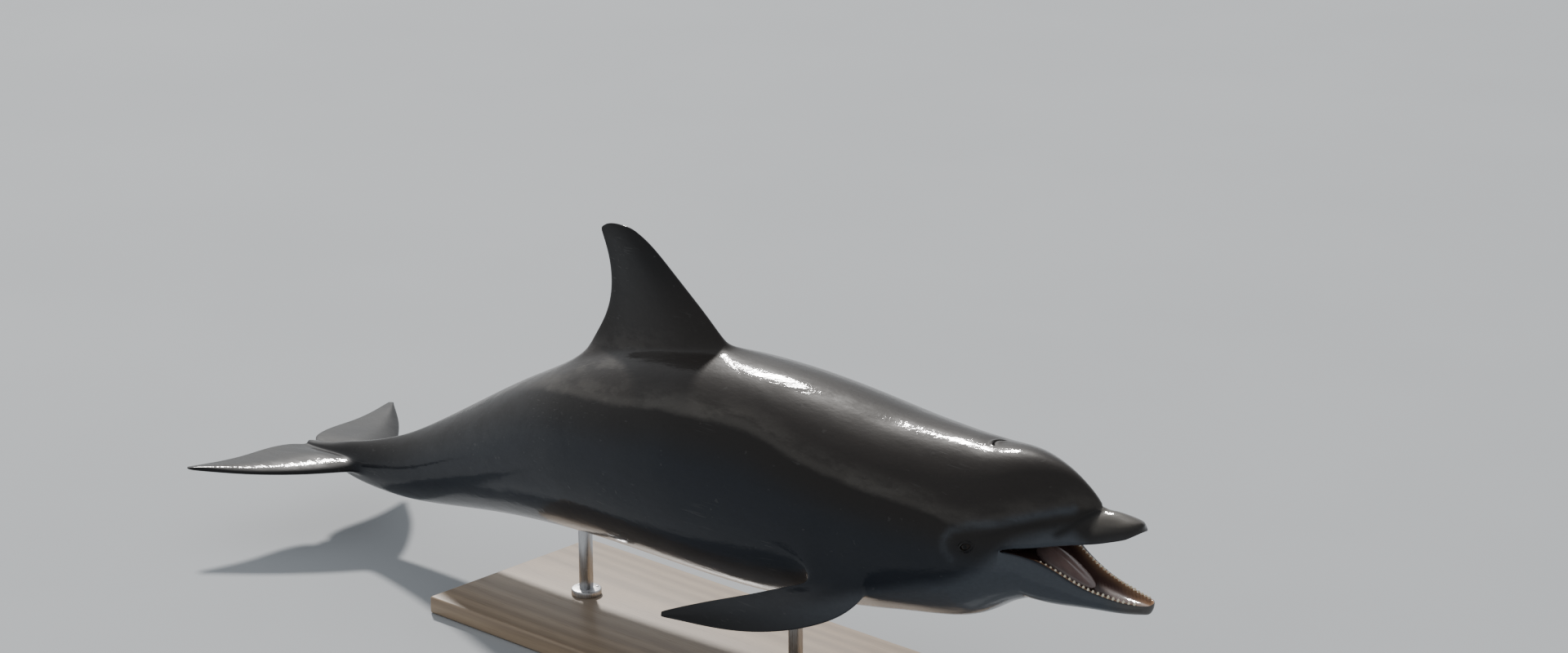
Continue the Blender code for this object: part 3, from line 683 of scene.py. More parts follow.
def close_lids(points, matrix):
    """Wraps the skin round the eyeball and opens a slit between the lids."""
    local = carried(matrix.inverted(), points)
    along_eye, height, up = local.T
    radius = np.hypot(along_eye, up)
    near = (radius < LID_REACH) & (height > -0.02)
    u = along_eye * math.cos(LID_TILT) + up * math.sin(LID_TILT)
    v = up * math.cos(LID_TILT) - along_eye * math.sin(LID_TILT)
    narrow = EYE_OPENING[1] * np.clip(1 - (u / EYE_OPENING[0]) ** 2 * 0.25, 0.3, 1)
    opening = np.hypot(u / EYE_OPENING[0], v / narrow)
    ball = np.sqrt(np.clip(EYE_RADIUS**2 - radius**2, 0, None))
    lid = np.sqrt(np.clip((EYE_RADIUS + LID_THICKNESS) ** 2 - radius**2, 0, None)) + 0.0004
    outside = 0.5 * (height + lid + np.sqrt((height - lid) ** 2 + 0.0025**2))
    outside = height + (outside - height) * ease(radius, 0.034, 0.020)
    outside -= 0.0015 * hump(opening - 1.80, 0.20) * ease(v, -0.003, 0.003)
    outside -= 0.0011 * hump(opening - 2.00, 0.22) * ease(v, 0.002, -0.003)
    outside -= 0.0007 * hump(opening - 2.75, 0.22) * ease(np.abs(v), 0.0, 0.006)
    inside = ball - 0.0035
    raised = inside + (outside - inside) * ease(opening, 0.86, 1.10)
    local[:, 1] = np.where(near, raised, height)
    gathered = 1 - 0.5 * hump(opening - 1, 0.3) * (opening - 1) * near
    local[:, (0, 2)] *= gathered[:, None]
    return carried(matrix, local)


# The melon's foot, from the top of the beak back along its side, as (s, z).
MELON_FOOT = mm(
    (103.5, 18), (119, 15.5), (132, 12.5), (146, 8), (160, 1), (174, -6), (200, -14)
)
# Folds of the head: height over the skin, width, and the corners of its line as (s, z).
HEAD_FOLDS = mm(
    (-1.1, 3.2, (185, 12), (230, 21), (290, 26), (340, 22)),
    (1.2, 8, (200, 24), (260, 34), (330, 34), (385, 24)),
    (-1.5, 3.4, (303, -34), (318, -39), (334, -52)),
    (-1.1, 3.0, (316, -26), (334, -32), (352, -46)),
    (-1.2, 4.0, (322, -56), (330, -75), (332, -96))
)
NECK_FOLDS = mm((452, 1.3), (486, 0.9))  # s and depth


def face_relief(s, y, z):
    """Height of the folds of the head over the smooth skin."""
    foot = distance_to_line(s, z, *MELON_FOOT)
    height = -0.0026 * hump(foot, 0.0038) * (1 - 0.9 * ease(s, 0.118, 0.172))
    for rise, width, *line in HEAD_FOLDS:
        height += rise * hump(distance_to_line(s, z, *line), width)
    cheek = np.hypot(s - 0.312, (z + 0.012) * 1.4)
    height += 0.0020 * hump(cheek, 0.020)
    ear = np.hypot(s - EAR[0], z - EAR[1])
    height -= 0.0022 * hump(ear, 0.0016) * (np.abs(y) > 0.05)
    for start, depth in NECK_FOLDS:
        fold = s - start - 0.05 * np.abs(z + 0.02)
        height -= depth * hump(fold, 0.006) * ease(z, -0.17, -0.10) * ease(z, 0.13, 0.03)
    return height


def blowhole_relief(s, y, z):
    """The blowhole's crescent on top of the head, its ends towards the snout."""
    over = (z > 0.10) & (np.abs(y) < 0.06)
    bend = BLOWHOLE - 0.011 * (y / BLOWHOLE_HALF_WIDTH) ** 2
    ends = 1 - ease(np.abs(y), BLOWHOLE_HALF_WIDTH - 0.003, BLOWHOLE_HALF_WIDTH + 0.002)
    slit = -0.0052 * hump(s - bend, 0.0021) * ends
    plug = 0.0018 * hump(np.hypot(s - bend + 0.010, y * 0.7), 0.009)
    rim = 0.0013 * hump(s - bend - 0.0065, 0.0040) * ease(-np.abs(y), -0.030, -0.012)
    dip = -0.0022 * hump(np.hypot(s - BLOWHOLE + 0.006, y * 0.8), 0.034)
    return (slit + plug + rim + dip) * over


def gum_relief(s, y, teeth_span, row, height):
    """The ridge that the teeth stand in, risen a little round each of them."""
    pitch = (teeth_span[1] - teeth_span[0]) / (TEETH_IN_ROW - 1)
    swell = 1 + 0.27 * np.cos(2 * np.pi * (s - teeth_span[0]) / pitch)
    ends = ease(s, 0.255, 0.235) * ease(s, teeth_span[0] - 0.014, teeth_span[0])
    return height * swell * hump(np.abs(y) - row, 0.0042) * ends


def tooth_rows(s, shut_s, in_jaw):
    """Distance of the row of teeth from the midline, in either jaw."""
    upper = UPPER_ROW * along(upper_lip, s)
    return np.where(in_jaw, LOWER_ROW * along(lower_lip, shut_s), upper)


def belly_relief(s, y, z):
    """Navel, genital slit and anus on the midline below."""
    mid = np.abs(y)
    height = -0.0022 * hump(np.hypot((s - NAVEL) * 0.6, y), 0.004)
    for start, end in (GENITAL_SLIT, ANUS):
        spread = ease(s, start - 0.008, start + 0.004) * ease(s, end + 0.008, end - 0.004)
        height -= 0.0030 * hump(mid, 0.0022) * spread
        height += 0.0012 * hump(mid - 0.007, 0.005) * spread
    return height * (z < 0) * (mid < 0.05)


def sculpt(mesh):
    """Moves the skin's points: relief along their normals, then the lids."""
    points = coordinates(mesh)
    s, y, z = straightened(points)
    shut_s, _, share = closed(s, z)
    in_jaw = share > IN_JAW
    lining = get_values(mesh, "lining")
    outside = 1 - ease(lining, 0.3, 0.7)
    head = (s < 0.62) & ~in_jaw
    height = np.where(head, face_relief(s, y, z), 0) * outside
    height += blowhole_relief(s, y, z) + belly_relief(s, y, z)
    inside = ease(lining, 0.35, 0.75)
    row = tooth_rows(s, shut_s, in_jaw)
    upper = gum_relief(s, y, UPPER_TEETH, row, 0.0012) * (s < GAPE)
    lower = gum_relief(shut_s, y, LOWER_TEETH, row, 0.0022)
    height += inside * np.where(in_jaw, lower, upper)
    points = points + coordinates(mesh, "normal") * height[:, None]
    for sign in (-1, 1):
        points = close_lids(points, eye_frame(sign))
    set_coordinates(mesh, points)


# ---- Markings ----

cape_line = profile(
    (50, 0), (109, 18), (174, 34), (280, 32), (340, 32), (400, 46), (434, 64), (572, 94),
    (761, 128), (968, 168), (1157, 172), (1320, 160), (1450, 164), (1600, 172), (1850, 152),
    (2200, 100), (2600, 50)
)
belly_line = profile(
    (0, -68), (150, -86), (300, -106), (420, -124), (600, -152), (900, -166), (1200, -154),
    (1500, -130), (1800, -100), (2100, -74), (2600, -45)
)
CAPE_EDGE_STRENGTH = ((0.15, 0.35), (0.5, 0.7), (1.15, 0.9), (1.55, 1), (1.8, 0))  # against s
# The upper edge of the paler throat, which takes in the upper lip, as (s, z).
THROAT_EDGE = mm(
    (110, -60), (150, -18), (190, -10), (270, -18), (305, -38), (351, -62), (412, -83),
    (469, -94), (560, -115), (750, -160)
)
# Soft lines on the head: strength, width, and corners as (s, z).
PALE_LINES = (
    (0.75, *mm(8, (402, -36), (414, -14), (408, 8), (388, 24), (350, 29))),
    (1, *mm(9, (350, 29), (280, 25), (206, 26), (150, 24))),
)
DARK_LINES = (
    (0.55, *mm(6, (345, -2), (290, 7), (225, 10), (185, 0))),
    # Painted shade in the crease under the melon's foot, where the melon overhangs the beak.
    (1, *mm(9, (106, 11), (128, 4), (152, -8), (178, -17))),
)


def strongest(s, z, lines):
    """The strongest of some soft lines at each point."""
    return np.maximum.reduce([strength * hump(distance_to_line(s, z, *line), width)
                              for strength, width, *line in lines])


def mark(mesh):
    """Lays the markings on the skin as layers of values, for its material."""
    s, y, z = straightened(coordinates(mesh))
    side = np.abs(y)
    shut_s, shut_z, share = closed(s, z)
    in_jaw = share > IN_JAW
    front = np.where(in_jaw, shut_s, s)

    back, keel = along(top, s), along(bottom, np.maximum(s, GAPE))
    half = np.maximum((back - keel) / 2, 0.01)
    reach = np.hypot(y / along(half_width, s), (z - (back + keel) / 2) / half)
    eye_patch = hump(np.hypot((s - EYE[0]) * 0.75, z - EYE[1]), 0.018)
    # The upper beak's top is paler: partly its own tone, partly a painted sheen where light falls
    # on it.
    paler_beak_top_and_sheen = ease(front, 0.113, 0.097) * ease(z, -0.036, -0.014)
    past_row = side - tooth_rows(s, shut_s, in_jaw)
    gum_width = np.interp(front, (0.02, 0.10), (0.014, 0.0060))
    gum = hump(np.minimum(past_row, 0), gum_width) * ease(past_row, 0.005, 0.001)
    layers = {
        "cape": z - along(cape_line, s),
        "belly": along(belly_line, shut_s) - shut_z,
        "limb": ease(reach, 1.05, 1.9) * (s > 0.5),
        "edge": np.interp(s, *zip(*CAPE_EDGE_STRENGTH)),
        "dry": hump(s - 1.44, 0.15) * hump(reach - 0.95, 0.25),
        "pale": strongest(s, z, PALE_LINES) * (side > 0.03) * ~in_jaw,
        # The eye patch and stripe, and painted shade in the crease under the melon's foot.
        "dark": np.maximum(strongest(s, z, DARK_LINES), eye_patch) * (side > 0.010) * ~in_jaw,
        "throat": np.maximum(np.interp(s, *zip(*THROAT_EDGE)) - z, 0.09 * share - 0.04),
        # Paler tip of the lower jaw; on the upper beak its top, which is partly painted sheen.
        "beak": np.where(in_jaw, 0.9 * ease(front, 0.090, 0.012), paler_beak_top_and_sheen),
        "gum": gum * ease(front, 0.275, 0.255),
        "lining": get_values(mesh, "lining") * np.where(in_jaw, 1.0, ease(front, 0.026, 0.044)),
    }
    for name, values in layers.items():
        set_values(mesh, name, values)


# ---- Materials ----

MIX_INPUTS, MIX_OUTPUT = (0, 6, 7), 2  # of a Mix node: its share and its two colours


class Look:
    """A material built from a few kinds of node round one Principled shader."""

    def __init__(self, name, **settings):
        self.material = bpy.data.materials.new(name)
        self.material.use_nodes = True
        self.tree = self.material.node_tree
        self.shader = self.tree.nodes["Principled BSDF"]
        self.fill(self.shader, **settings)

    def put(self, value, socket):
        """Sets an input from a number, a colour or another node's output."""
        if isinstance(value, bpy.types.NodeSocket):
            self.tree.links.new(value, socket)
        elif socket.type == "RGBA":
            socket.default_value = (*value, 1)
        else:
            socket.default_value = value

    def fill(self, node, **inputs):
        """Puts values into a node's inputs by their names."""
        for name, value in inputs.items():
            self.put(value, node.inputs[name.replace("_", " ")])
        return node

    def node(self, kind, **settings):
        node = self.tree.nodes.new("ShaderNode" + kind)
        for name, value in settings.items():
            setattr(node, name, value)
        return node

    def place(self, stretch):
        """The point's own place, with each axis multiplied."""
        place = self.node("TexCoord").outputs["Object"]
        return self.fill(self.node("Mapping"), Vector=place, Scale=stretch).outputs[0]

    def noise(self, scale, stretch=(1, 1, 1), detail=4.0, roughness=0.55, distortion=0.0):
        node = self.fill(self.node("TexNoise"), Vector=self.place(stretch), Scale=scale,
                         Detail=detail, Roughness=roughness, Distortion=distortion)
        return node.outputs["Fac"]

    def value(self, name):
        return self.node("Attribute", attribute_name=name).outputs["Fac"]

    def math(self, operation, a, b=0.0, c=0.0):
        node = self.node("Math", operation=operation)
        for socket, value in zip(node.inputs, (a, b, c)):
            self.put(value, socket)
        return node.outputs[0]

    def times(self, first, *others):
        for other in others:
            first = self.math("MULTIPLY", first, other)
        return first

    def ease(self, value, low, high, start=0.0, end=1.0):
        node = self.node("MapRange", interpolation_type="SMOOTHSTEP")
        for socket, number in zip(node.inputs, (value, low, high, start, end)):
            self.put(number, socket)
        return node.outputs[0]

    def layers(self, colour, *coats):
        """Lays coats over a colour, each of them by a share of its own."""
        for share, coat in coats:
            node = self.node("Mix", data_type="RGBA")
            for index, value in zip(MIX_INPUTS, (share, colour, coat)):
                self.put(value, node.inputs[index])
            colour = node.outputs[MIX_OUTPUT]
        return colour

    def bump(self, height, strength, distance, **under):
        return self.fill(self.node("Bump"), Height=height, Strength=strength, Distance=distance,
                         **under).outputs[0]

    def finish(self, **inputs):
        self.fill(self.shader, **inputs)
        return self.material


BACK = (0.0190, 0.0155, 0.0135)
FLANK = (0.0102, 0.0130, 0.0186)
UNDERSIDE = (0.25, 0.243, 0.240)
CAPE_EDGE = (0.098, 0.090, 0.080)
LIMB = (0.0095, 0.0090, 0.0095)
# Dark eye patch and stripe, also used as painted shade in the crease under the melon's foot.
EYE_PATCH_AND_CREASE_SHADE = (0.0045, 0.004, 0.004)
CHEEK = (0.058, 0.067, 0.080)
THROAT = (0.074, 0.084, 0.098)
# Paler beak: the lower jaw's tip, and the upper beak's top, whose paleness is partly a painted
# sheen.
BEAK = (0.098, 0.089, 0.078)
SCAR = (0.105, 0.103, 0.100)
LINING = (0.085, 0.050, 0.045)
GUM = (0.34, 0.205, 0.125)
TONGUE = (0.29, 0.205, 0.19)
IVORY = (0.80, 0.73, 0.58)
BLACK = (0.0, 0.0, 0.0)


def shade(colour, factor):
    """A colour made darker or lighter."""
    return tuple(factor * v for v in colour)


def skin_look():
    look = Look("wet_skin", Specular_IOR_Level=0.06, Coat_Weight=0.75, Coat_Roughness=0.06,
                Coat_IOR=1.33)
    wander = look.noise(3.5, (0.45, 1, 1), 5)
    mottle = look.noise(22, (0.4, 1, 1), 6, 0.65)
    grain = look.noise(140, (0.6, 1, 1), 3)
    wobble = look.math("MULTIPLY_ADD", mottle, 0.014, -0.007)

    cape = look.math("ADD", look.value("cape"), wobble)
    back = look.layers(BACK, (look.ease(wander, 0.35, 0.70), shade(BACK, 1.35)))
    body = look.layers(FLANK, (look.ease(wander, 0.30, 0.70), shade(FLANK, 1.25)),
                       (look.ease(cape, -0.11, -0.02), shade(BACK, 0.72)),
                       (look.ease(cape, -0.012, 0.006), back))
    low = look.math("ADD", look.value("belly"), look.math("MULTIPLY_ADD", wander, 0.09, -0.045))
    low = look.math("ADD", low, wobble)
    line = look.times(look.ease(cape, -0.010, 0.001), look.ease(cape, 0.020, 0.004, 0, 0.5))
    fade = look.times(look.ease(cape, -0.012, 0.002), look.ease(cape, 0.048, 0.006),
                      look.ease(mottle, 0.36, 0.62, 0.15, 0.75))
    edge = look.times(look.math("MAXIMUM", line, fade), look.value("edge"))
    dry = look.times(look.value("dry"), look.ease(mottle, 0.46, 0.62, 0, 0.45),
                     look.ease(cape, 0.0, 0.02))
    throat = look.math("ADD", look.value("throat"), wobble)
    pale = look.times(look.value("pale"), look.ease(mottle, 0.25, 0.65, 0.35, 0.75))
    mouth = look.layers(LINING, (look.ease(mottle, 0.3, 0.7), shade(LINING, 0.7)),
                        (look.value("gum"), GUM))
    rakes = look.times(look.ease(look.noise(230, (0.035, 1, 0.6), 2), 0.62, 0.70),
                       look.ease(look.noise(5, (1, 1, 1), 2), 0.52, 0.66))
    flecks = look.ease(look.noise(75, (0.7, 1, 1), 2, 0.4), 0.70, 0.78, 0, 0.20)
    colour = look.layers(
        body,
        (look.ease(low, -0.060, 0.025, 0, 0.25), UNDERSIDE),
        (look.ease(low, 0.000, 0.085), UNDERSIDE),
        (look.math("MAXIMUM", edge, dry), CAPE_EDGE),
        (look.ease(throat, -0.022, 0.022, 0, 0.85), THROAT),
        (pale, CHEEK),
        # lower jaw's paler tip, and the upper beak's top with painted sheen
        (look.times(look.value("beak"), 0.80), BEAK),
        # eye patch and stripe, and painted shade in the melon's crease
        (look.times(look.value("dark"), 0.85), EYE_PATCH_AND_CREASE_SHADE),
        (look.value("limb"), LIMB),
        (look.ease(look.value("lining"), 0.42, 0.62), mouth),
        (look.times(rakes, 0.22), SCAR),
        (flecks, SCAR),
        (look.ease(grain, 0.2, 0.8, 0, 0.12), BLACK),
    )

    relief = look.bump(grain, 0.10, 0.0015)
    relief = look.bump(look.noise(30, (0.5, 1, 1), 4), 0.12, 0.004, Normal=relief)
    relief = look.bump(rakes, 0.10, -0.0006, Normal=relief)
    film = look.bump(look.noise(16, (0.5, 1, 1), 5, 0.6, 0.6), 0.26, 0.006, Normal=relief)
    return look.finish(Base_Color=colour, Roughness=look.ease(mottle, 0.35, 0.70, 0.38, 0.52),
                       Normal=relief, Coat_Normal=film)


def teeth_look():
    look = Look("ivory", Roughness=0.28, Coat_Weight=0.4, Coat_Roughness=0.08)
    stain = look.noise(160, (1, 1, 0.4), 3)
    root = look.ease(look.value("root"), 0.25, 0.9)
    colour = look.layers(IVORY, (look.ease(stain, 0.35, 0.75), (0.66, 0.56, 0.38)),
                         (look.times(root, 0.6), (0.40, 0.26, 0.14)))
    return look.finish(Base_Color=colour, Normal=look.bump(stain, 0.15, 0.0008))


def tongue_look():
    look = Look("tongue", Roughness=0.38, Coat_Weight=0.6, Coat_Roughness=0.10)
    patches = look.noise(40, (0.6, 1, 1), 5, 0.6)
    colour = look.layers(TONGUE, (look.ease(patches, 0.35, 0.70), (0.22, 0.15, 0.14)),
                         (look.ease(look.value("rim"), 0.5, 1.0, 0, 0.5), (0.15, 0.125, 0.125)))
    relief = look.bump(look.noise(420, (1, 1, 1), 2), 0.25, 0.0008)
    relief = look.bump(patches, 0.2, 0.003, Normal=relief)
    return look.finish(Base_Color=colour, Normal=relief)


def eye_look():
    """A black pupil in a dark iris, in the dark grey of the eyeball."""
    look = Look("eye", Roughness=0.04, Specular_IOR_Level=0.22)
    rays = look.noise(260, (1, 0.2, 1), 3)
    share = look.ease(rays, 0.3, 0.7)
    iris = look.layers((0.007, 0.0045, 0.003), (share, (0.018, 0.011, 0.006)))
    white = look.layers((0.045, 0.036, 0.032), (share, (0.022, 0.016, 0.014)))
    colour = look.layers((0.001, 0.001, 0.001),
                         (look.ease(look.value("radius"), 0.0042, 0.0056), iris),
                         (look.ease(look.value("radius"), 0.0098, 0.0112), white))
    return look.finish(Base_Color=colour, Normal=look.bump(rays, 0.03, 0.0004))


def oak_look():
    look = Look("oak", Coat_Weight=0.35, Coat_Roughness=0.22)
    rings = look.node("TexWave", wave_type="RINGS", rings_direction="X")
    look.fill(rings, Vector=look.place((0.9, 8, 26)), Scale=1.1, Distortion=5.0, Detail=4.0,
              Detail_Scale=0.7, Detail_Roughness=0.6)
    pores = look.noise(420, (0.02, 1, 1), 3, 0.7)
    tone = look.noise(5, (0.2, 1, 1), 3)
    colour = look.layers((0.39, 0.285, 0.185), (rings.outputs["Fac"], (0.27, 0.19, 0.12)),
                         (look.ease(tone, 0.3, 0.7, 0, 0.35), (0.23, 0.155, 0.095)),
                         (look.ease(pores, 0.56, 0.72, 0, 0.65), (0.15, 0.095, 0.055)))
    return look.finish(Base_Color=colour, Roughness=look.ease(pores, 0.4, 0.7, 0.38, 0.52),
                       Normal=look.bump(pores, 0.20, 0.0006))


def steel_look():
    look = Look("brushed_steel", Metallic=1.0)
    lines = look.noise(900, (1, 1, 0.02), 2)
    cloud = look.noise(30, (1, 1, 1), 3)
    colour = look.layers((0.50, 0.50, 0.51), (look.ease(lines, 0.3, 0.7), (0.66, 0.66, 0.67)))
    rough = look.math("ADD", look.ease(lines, 0.3, 0.7, 0.22, 0.38),
                      look.ease(cloud, 0.3, 0.7, 0, 0.06))
    return look.finish(Base_Color=colour, Roughness=rough, Normal=look.bump(lines, 0.08, 0.0003))


def floor_look():
    look = Look("studio_floor", Roughness=0.8)
    cloud = look.ease(look.noise(0.8, (1, 1, 1), 3), 0.3, 0.7)
    colour = look.layers((0.395, 0.415, 0.437), (cloud, (0.413, 0.433, 0.455)))
    return look.finish(Base_Color=colour)


# ---- Pieces ----


def put_on(obj, material, slot, *nodes):
    """Dresses a finished piece and ties it to the frame."""
    obj.data.materials.clear()
    obj.data.materials.append(material)
    obj.data.shade_smooth()
    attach(obj, "root")
    if nodes:
        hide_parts(*nodes)
    return obj


def near_details(points):
    """Where the skin needs finer faces: lids, blowhole, gape, gums and the melon's foot."""
    s, y, z = straightened(points)
    shut_s, shut_z, share = closed(s, z)
    in_jaw = share > IN_JAW
    side = np.abs(y)
    eye = np.hypot(s - EYE[0], z - EYE[1]) < 0.034
    blowhole = (np.hypot(s - BLOWHOLE, y) < 0.034) & (z > 0.1)
    crease = distance_to_line(s, z, *MELON_FOOT) < 0.012
    row = tooth_rows(s, shut_s, in_jaw)
    lip_height = np.abs(np.where(in_jaw, shut_z + 0.01, z) - along(lip_z, s))
    gums = (np.abs(side - row) < 0.012) & (lip_height < 0.022) & (s < 0.27)
    corner = (np.hypot(s - 0.320, z + 0.050) < 0.034) & (side > 0.06)
    return (eye & (side > 0.08)) | blowhole | crease | gums | corner


def near_openings(eye_reach, eye_squash, slit_reach, slit_half_width):
    """A test for places still closer to the lids and the blowhole's slit."""

    def near(points):
        s, y, z = straightened(points)
        eye = np.hypot(s - EYE[0], (z - EYE[1]) * eye_squash) < eye_reach
        slit = (np.abs(s - BLOWHOLE + 0.004) < slit_reach) & (np.abs(y) < slit_half_width)
        return (eye & (np.abs(y) > 0.08)) | (slit & (z > 0.1))

    return near


def shift(points, s, back, up):
    """Moves points backwards along the bent body and up from its spine."""
    pitch = pitch_at(s)
    points[:, 0] -= back * np.cos(pitch) + up * np.sin(pitch)
    points[:, 2] += up * np.cos(pitch) - back * np.sin(pitch)


def smooth_groups(mesh, groups, rounds, axes="xyz"):
    """Evens out one group of a mesh's points after another."""
    with Edited(mesh) as shell:
        for chosen in groups:
            smooth(shell, [shell.verts[i] for i in np.flatnonzero(chosen)], rounds, axes)


BEAK_TIP_DRAW = 0.0065  # of the lip at the middle of the tip, backwards
FIN_TIP_REACH = 0.011
KEEL_LOWERING = 0.45  # of the keel's height


def round_beak_tip(mesh):
    """Draws the lip at the tip of the upper jaw back, so that the tip is round."""
    points = coordinates(mesh)
    s, _, z = straightened(points)
    upper = closed(s, z)[2] < 0.01
    back = BEAK_TIP_DRAW * ease(-z, 0.027, 0.047) * (1 - ease(s, 0.012, 0.046)) * upper
    shift(points, s, back, 0)
    set_coordinates(mesh, points)
    smooth_groups(mesh, [upper & (s < reach) for reach in (0.026, 0.018)], 5)


def round_fin_tips(mesh):
    """Takes the corners off the tips of the flippers and flukes."""
    points = coordinates(mesh)
    points[:, 1] = np.abs(points[:, 1])
    s = straightened(points)[0]
    groups = []
    for fin in ((s > 0.6) & (s < 1.4), s > 2.3):
        tip = points[fin][np.argmax(points[fin, 1])]
        groups.append(np.linalg.norm(points - tip, axis=1) < FIN_TIP_REACH)
    smooth_groups(mesh, groups, 6)


def soften_fluke_root(mesh):
    """Lets the keels of the tail stock run out smoothly between the flukes."""
    points = coordinates(mesh)
    s, y, z = straightened(points)
    between = ease(s, 2.42, 2.58) * ease(np.abs(y), 0.060, 0.015)
    shift(points, s, 0, -KEEL_LOWERING * z * between)
    set_coordinates(mesh, points)
    groups = [(s > 2.50 - reach) & (s < 2.575 + reach / 2) & (np.abs(y) < reach)
              for reach in (0.080, 0.060, 0.040)]
    smooth_groups(mesh, groups, 6, "z")


def make_skin():
    skin = whole_body()
    round_beak_tip(skin.data)
    round_fin_tips(skin.data)
    soften_fluke_root(skin.data)
    refine(skin.data, near_details, 1)
    refine(skin.data, near_openings(0.025, 1.0, 0.016, 0.024), 1)
    refine(skin.data, near_openings(0.0185, 1.2, 0.011, 0.022), 2)
    sculpt(skin.data)
    mark(skin.data)
    flesh = ("head", "lower_jaw", "chest", "belly", "loin", "tail_stock", "fluke_root",
             "fluke_left", "fluke_right", "flipper_left", "flipper_right", "dorsal_fin")
    return put_on(skin, skin_look(), "skin", *flesh)


TOOTH_RADIUS = 0.0037
TOOTH_ROOT = 0.004  # depth in the gum
TOOTH_LEAN = 0.0015  # of its tip, backwards and outwards
TOOTH_HOOK = 0.0016  # of its tip, back inwards
UPPER_TOOTH, LOWER_TOOTH = -0.0028, 0.0078  # greatest height over the lip, negative downwards
TOOTH_RINGS, TOOTH_SIDES = 6, 10


def circle(count):
    """Angles once round."""
    return [2 * math.pi * j / count for j in range(count)]


def join_rings(shell, rings):
    """Quads between rings of as many vertices each."""
    for low, high in zip(rings, rings[1:]):
        for j in range(len(low)):
            k = (j + 1) % len(low)
            shell.faces.new((low[j], low[k], high[k], high[j]))


def tooth(shell, layer, root, tip, inwards):
    """One blunt cone, a little hooked inwards. layer is 1 at the gum and 0 at the tip."""
    axis = tip - root
    hook = inwards * TOOTH_HOOK
    across = axis.orthogonal().normalized()
    other = axis.normalized().cross(across)
    rings = []
    for i in range(TOOTH_RINGS):
        t = i / (TOOTH_RINGS - 0.6)
        radius = TOOTH_RADIUS * math.sqrt(1 - t**4) * (1 - 0.16 * t)
        centre = root + axis * t + hook * t * t
        rings.append([])
        for turn in circle(TOOTH_SIDES):
            arm = across * math.cos(turn) + other * math.sin(turn)
            vertex = shell.verts.new(centre + arm * radius)
            vertex[layer] = 1 - t
            rings[-1].append(vertex)
    crown = shell.verts.new(root + axis + hook)
    join_rings(shell, rings)
    for j in range(TOOTH_SIDES):
        shell.faces.new((rings[-1][j], rings[-1][(j + 1) % TOOTH_SIDES], crown))
    shell.faces.new(rings[0][::-1])


def make_teeth(name, span, row, edge, height, move):
    """Both rows of a jaw's teeth. height is negative in the upper jaw."""

    def make(shell):
        layer = shell.verts.layers.float.new("root")
        for i in range(TEETH_IN_ROW):
            s = span[0] + (span[1] - span[0]) * i / (TEETH_IN_ROW - 1)
            size = 0.75 + 0.25 * math.sin(math.pi * (i + 1) / (TEETH_IN_ROW + 1))
            for sign in (-1, 1):
                y, z = sign * row(s), edge(s)
                root = posed(move((s, y, z - math.copysign(TOOTH_ROOT, height))))
                tip = posed(move((s + TOOTH_LEAN, y + sign * TOOTH_LEAN, z + height * size)))
                tooth(shell, layer, root, tip, Vector((0, -sign, 0)))
        bmesh.ops.recalc_face_normals(shell, faces=shell.faces)

    return put_on(mesh_object(name, make), teeth_look(), "teeth")


TONGUE_SPAN = (0.136, 0.292)  # s of its tip and of its root
TONGUE_HALF_WIDTH = 0.036
TONGUE_HALF_HEIGHT = (0.013, 0.021)  # at its tip and at its root
TONGUE_DEPTH = 0.013  # of its middle below the lower lip


def make_tongue():
    """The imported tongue's form, finer, with a groove along the middle and a rippled edge."""
    front, rear = TONGUE_SPAN

    def make(shell):
        layer = shell.verts.layers.float.new("rim")
        bmesh.ops.create_uvsphere(shell, u_segments=64, v_segments=40, radius=1)
        for vertex in shell.verts:
            x, y, z = vertex.co
            s = (rear + front) / 2 - x * (rear - front) / 2
            back = ease(s, front, rear)
            thin, thick = TONGUE_HALF_HEIGHT
            height = thin + (thick - thin) * back
            above = max(z, 0.0)
            groove = 0.0016 * math.exp(-((y / 0.16) ** 2)) * above
            ripple = 0.0005 * math.sin(s * 520 + 3 * abs(y)) * above * abs(y)
            point = (s, y * TONGUE_HALF_WIDTH * (0.80 + 0.20 * back),
                     lower_lip_z(s) - TONGUE_DEPTH + z * height - groove + ripple)
            vertex.co = posed(opened(point))
            vertex[layer] = math.hypot(x * 0.96, y)

    return put_on(mesh_object("tongue_piece", make), tongue_look(), "tongue", "tongue")


def make_eye(side, sign):
    matrix = eye_frame(sign)

    def make(shell):
        layer = shell.verts.layers.float.new("radius")
        turn = Matrix.Rotation(math.pi / 2, 4, "X")
        bmesh.ops.create_uvsphere(shell, u_segments=48, v_segments=32, radius=EYE_RADIUS,
                                  matrix=turn)
        for vertex in shell.verts:
            vertex[layer] = math.hypot(vertex.co.x, vertex.co.z)
        shell.transform(matrix)
        bmesh.ops.recalc_face_normals(shell, faces=shell.faces)

    return put_on(mesh_object("eyeball_" + side, make), eye_look(), "eye", "eye_" + side)


# ---- Stand ----

EDGE_RADIUS = 0.006
ROD_CHAMFER = 0.001
FLANGE_STEP = 0.0012  # of the rounding round a collar's top
SCREWS = 3
SCREW_RADIUS, SCREW_HEIGHT = 0.0032, 0.0016


def rounded(obj, width, segments):
    """Rounds obj's sharp edges."""
    bevel = obj.modifiers.new("Bevel", "BEVEL")
    bevel.width = width
    bevel.segments = segments
    bevel.limit_method = "ANGLE"
    bevel.angle_limit = math.radians(50)
    apply_modifiers(obj)
    obj.data.shade_smooth()
    obj.data.set_sharp_from_angle(angle=math.radians(40))
    return obj


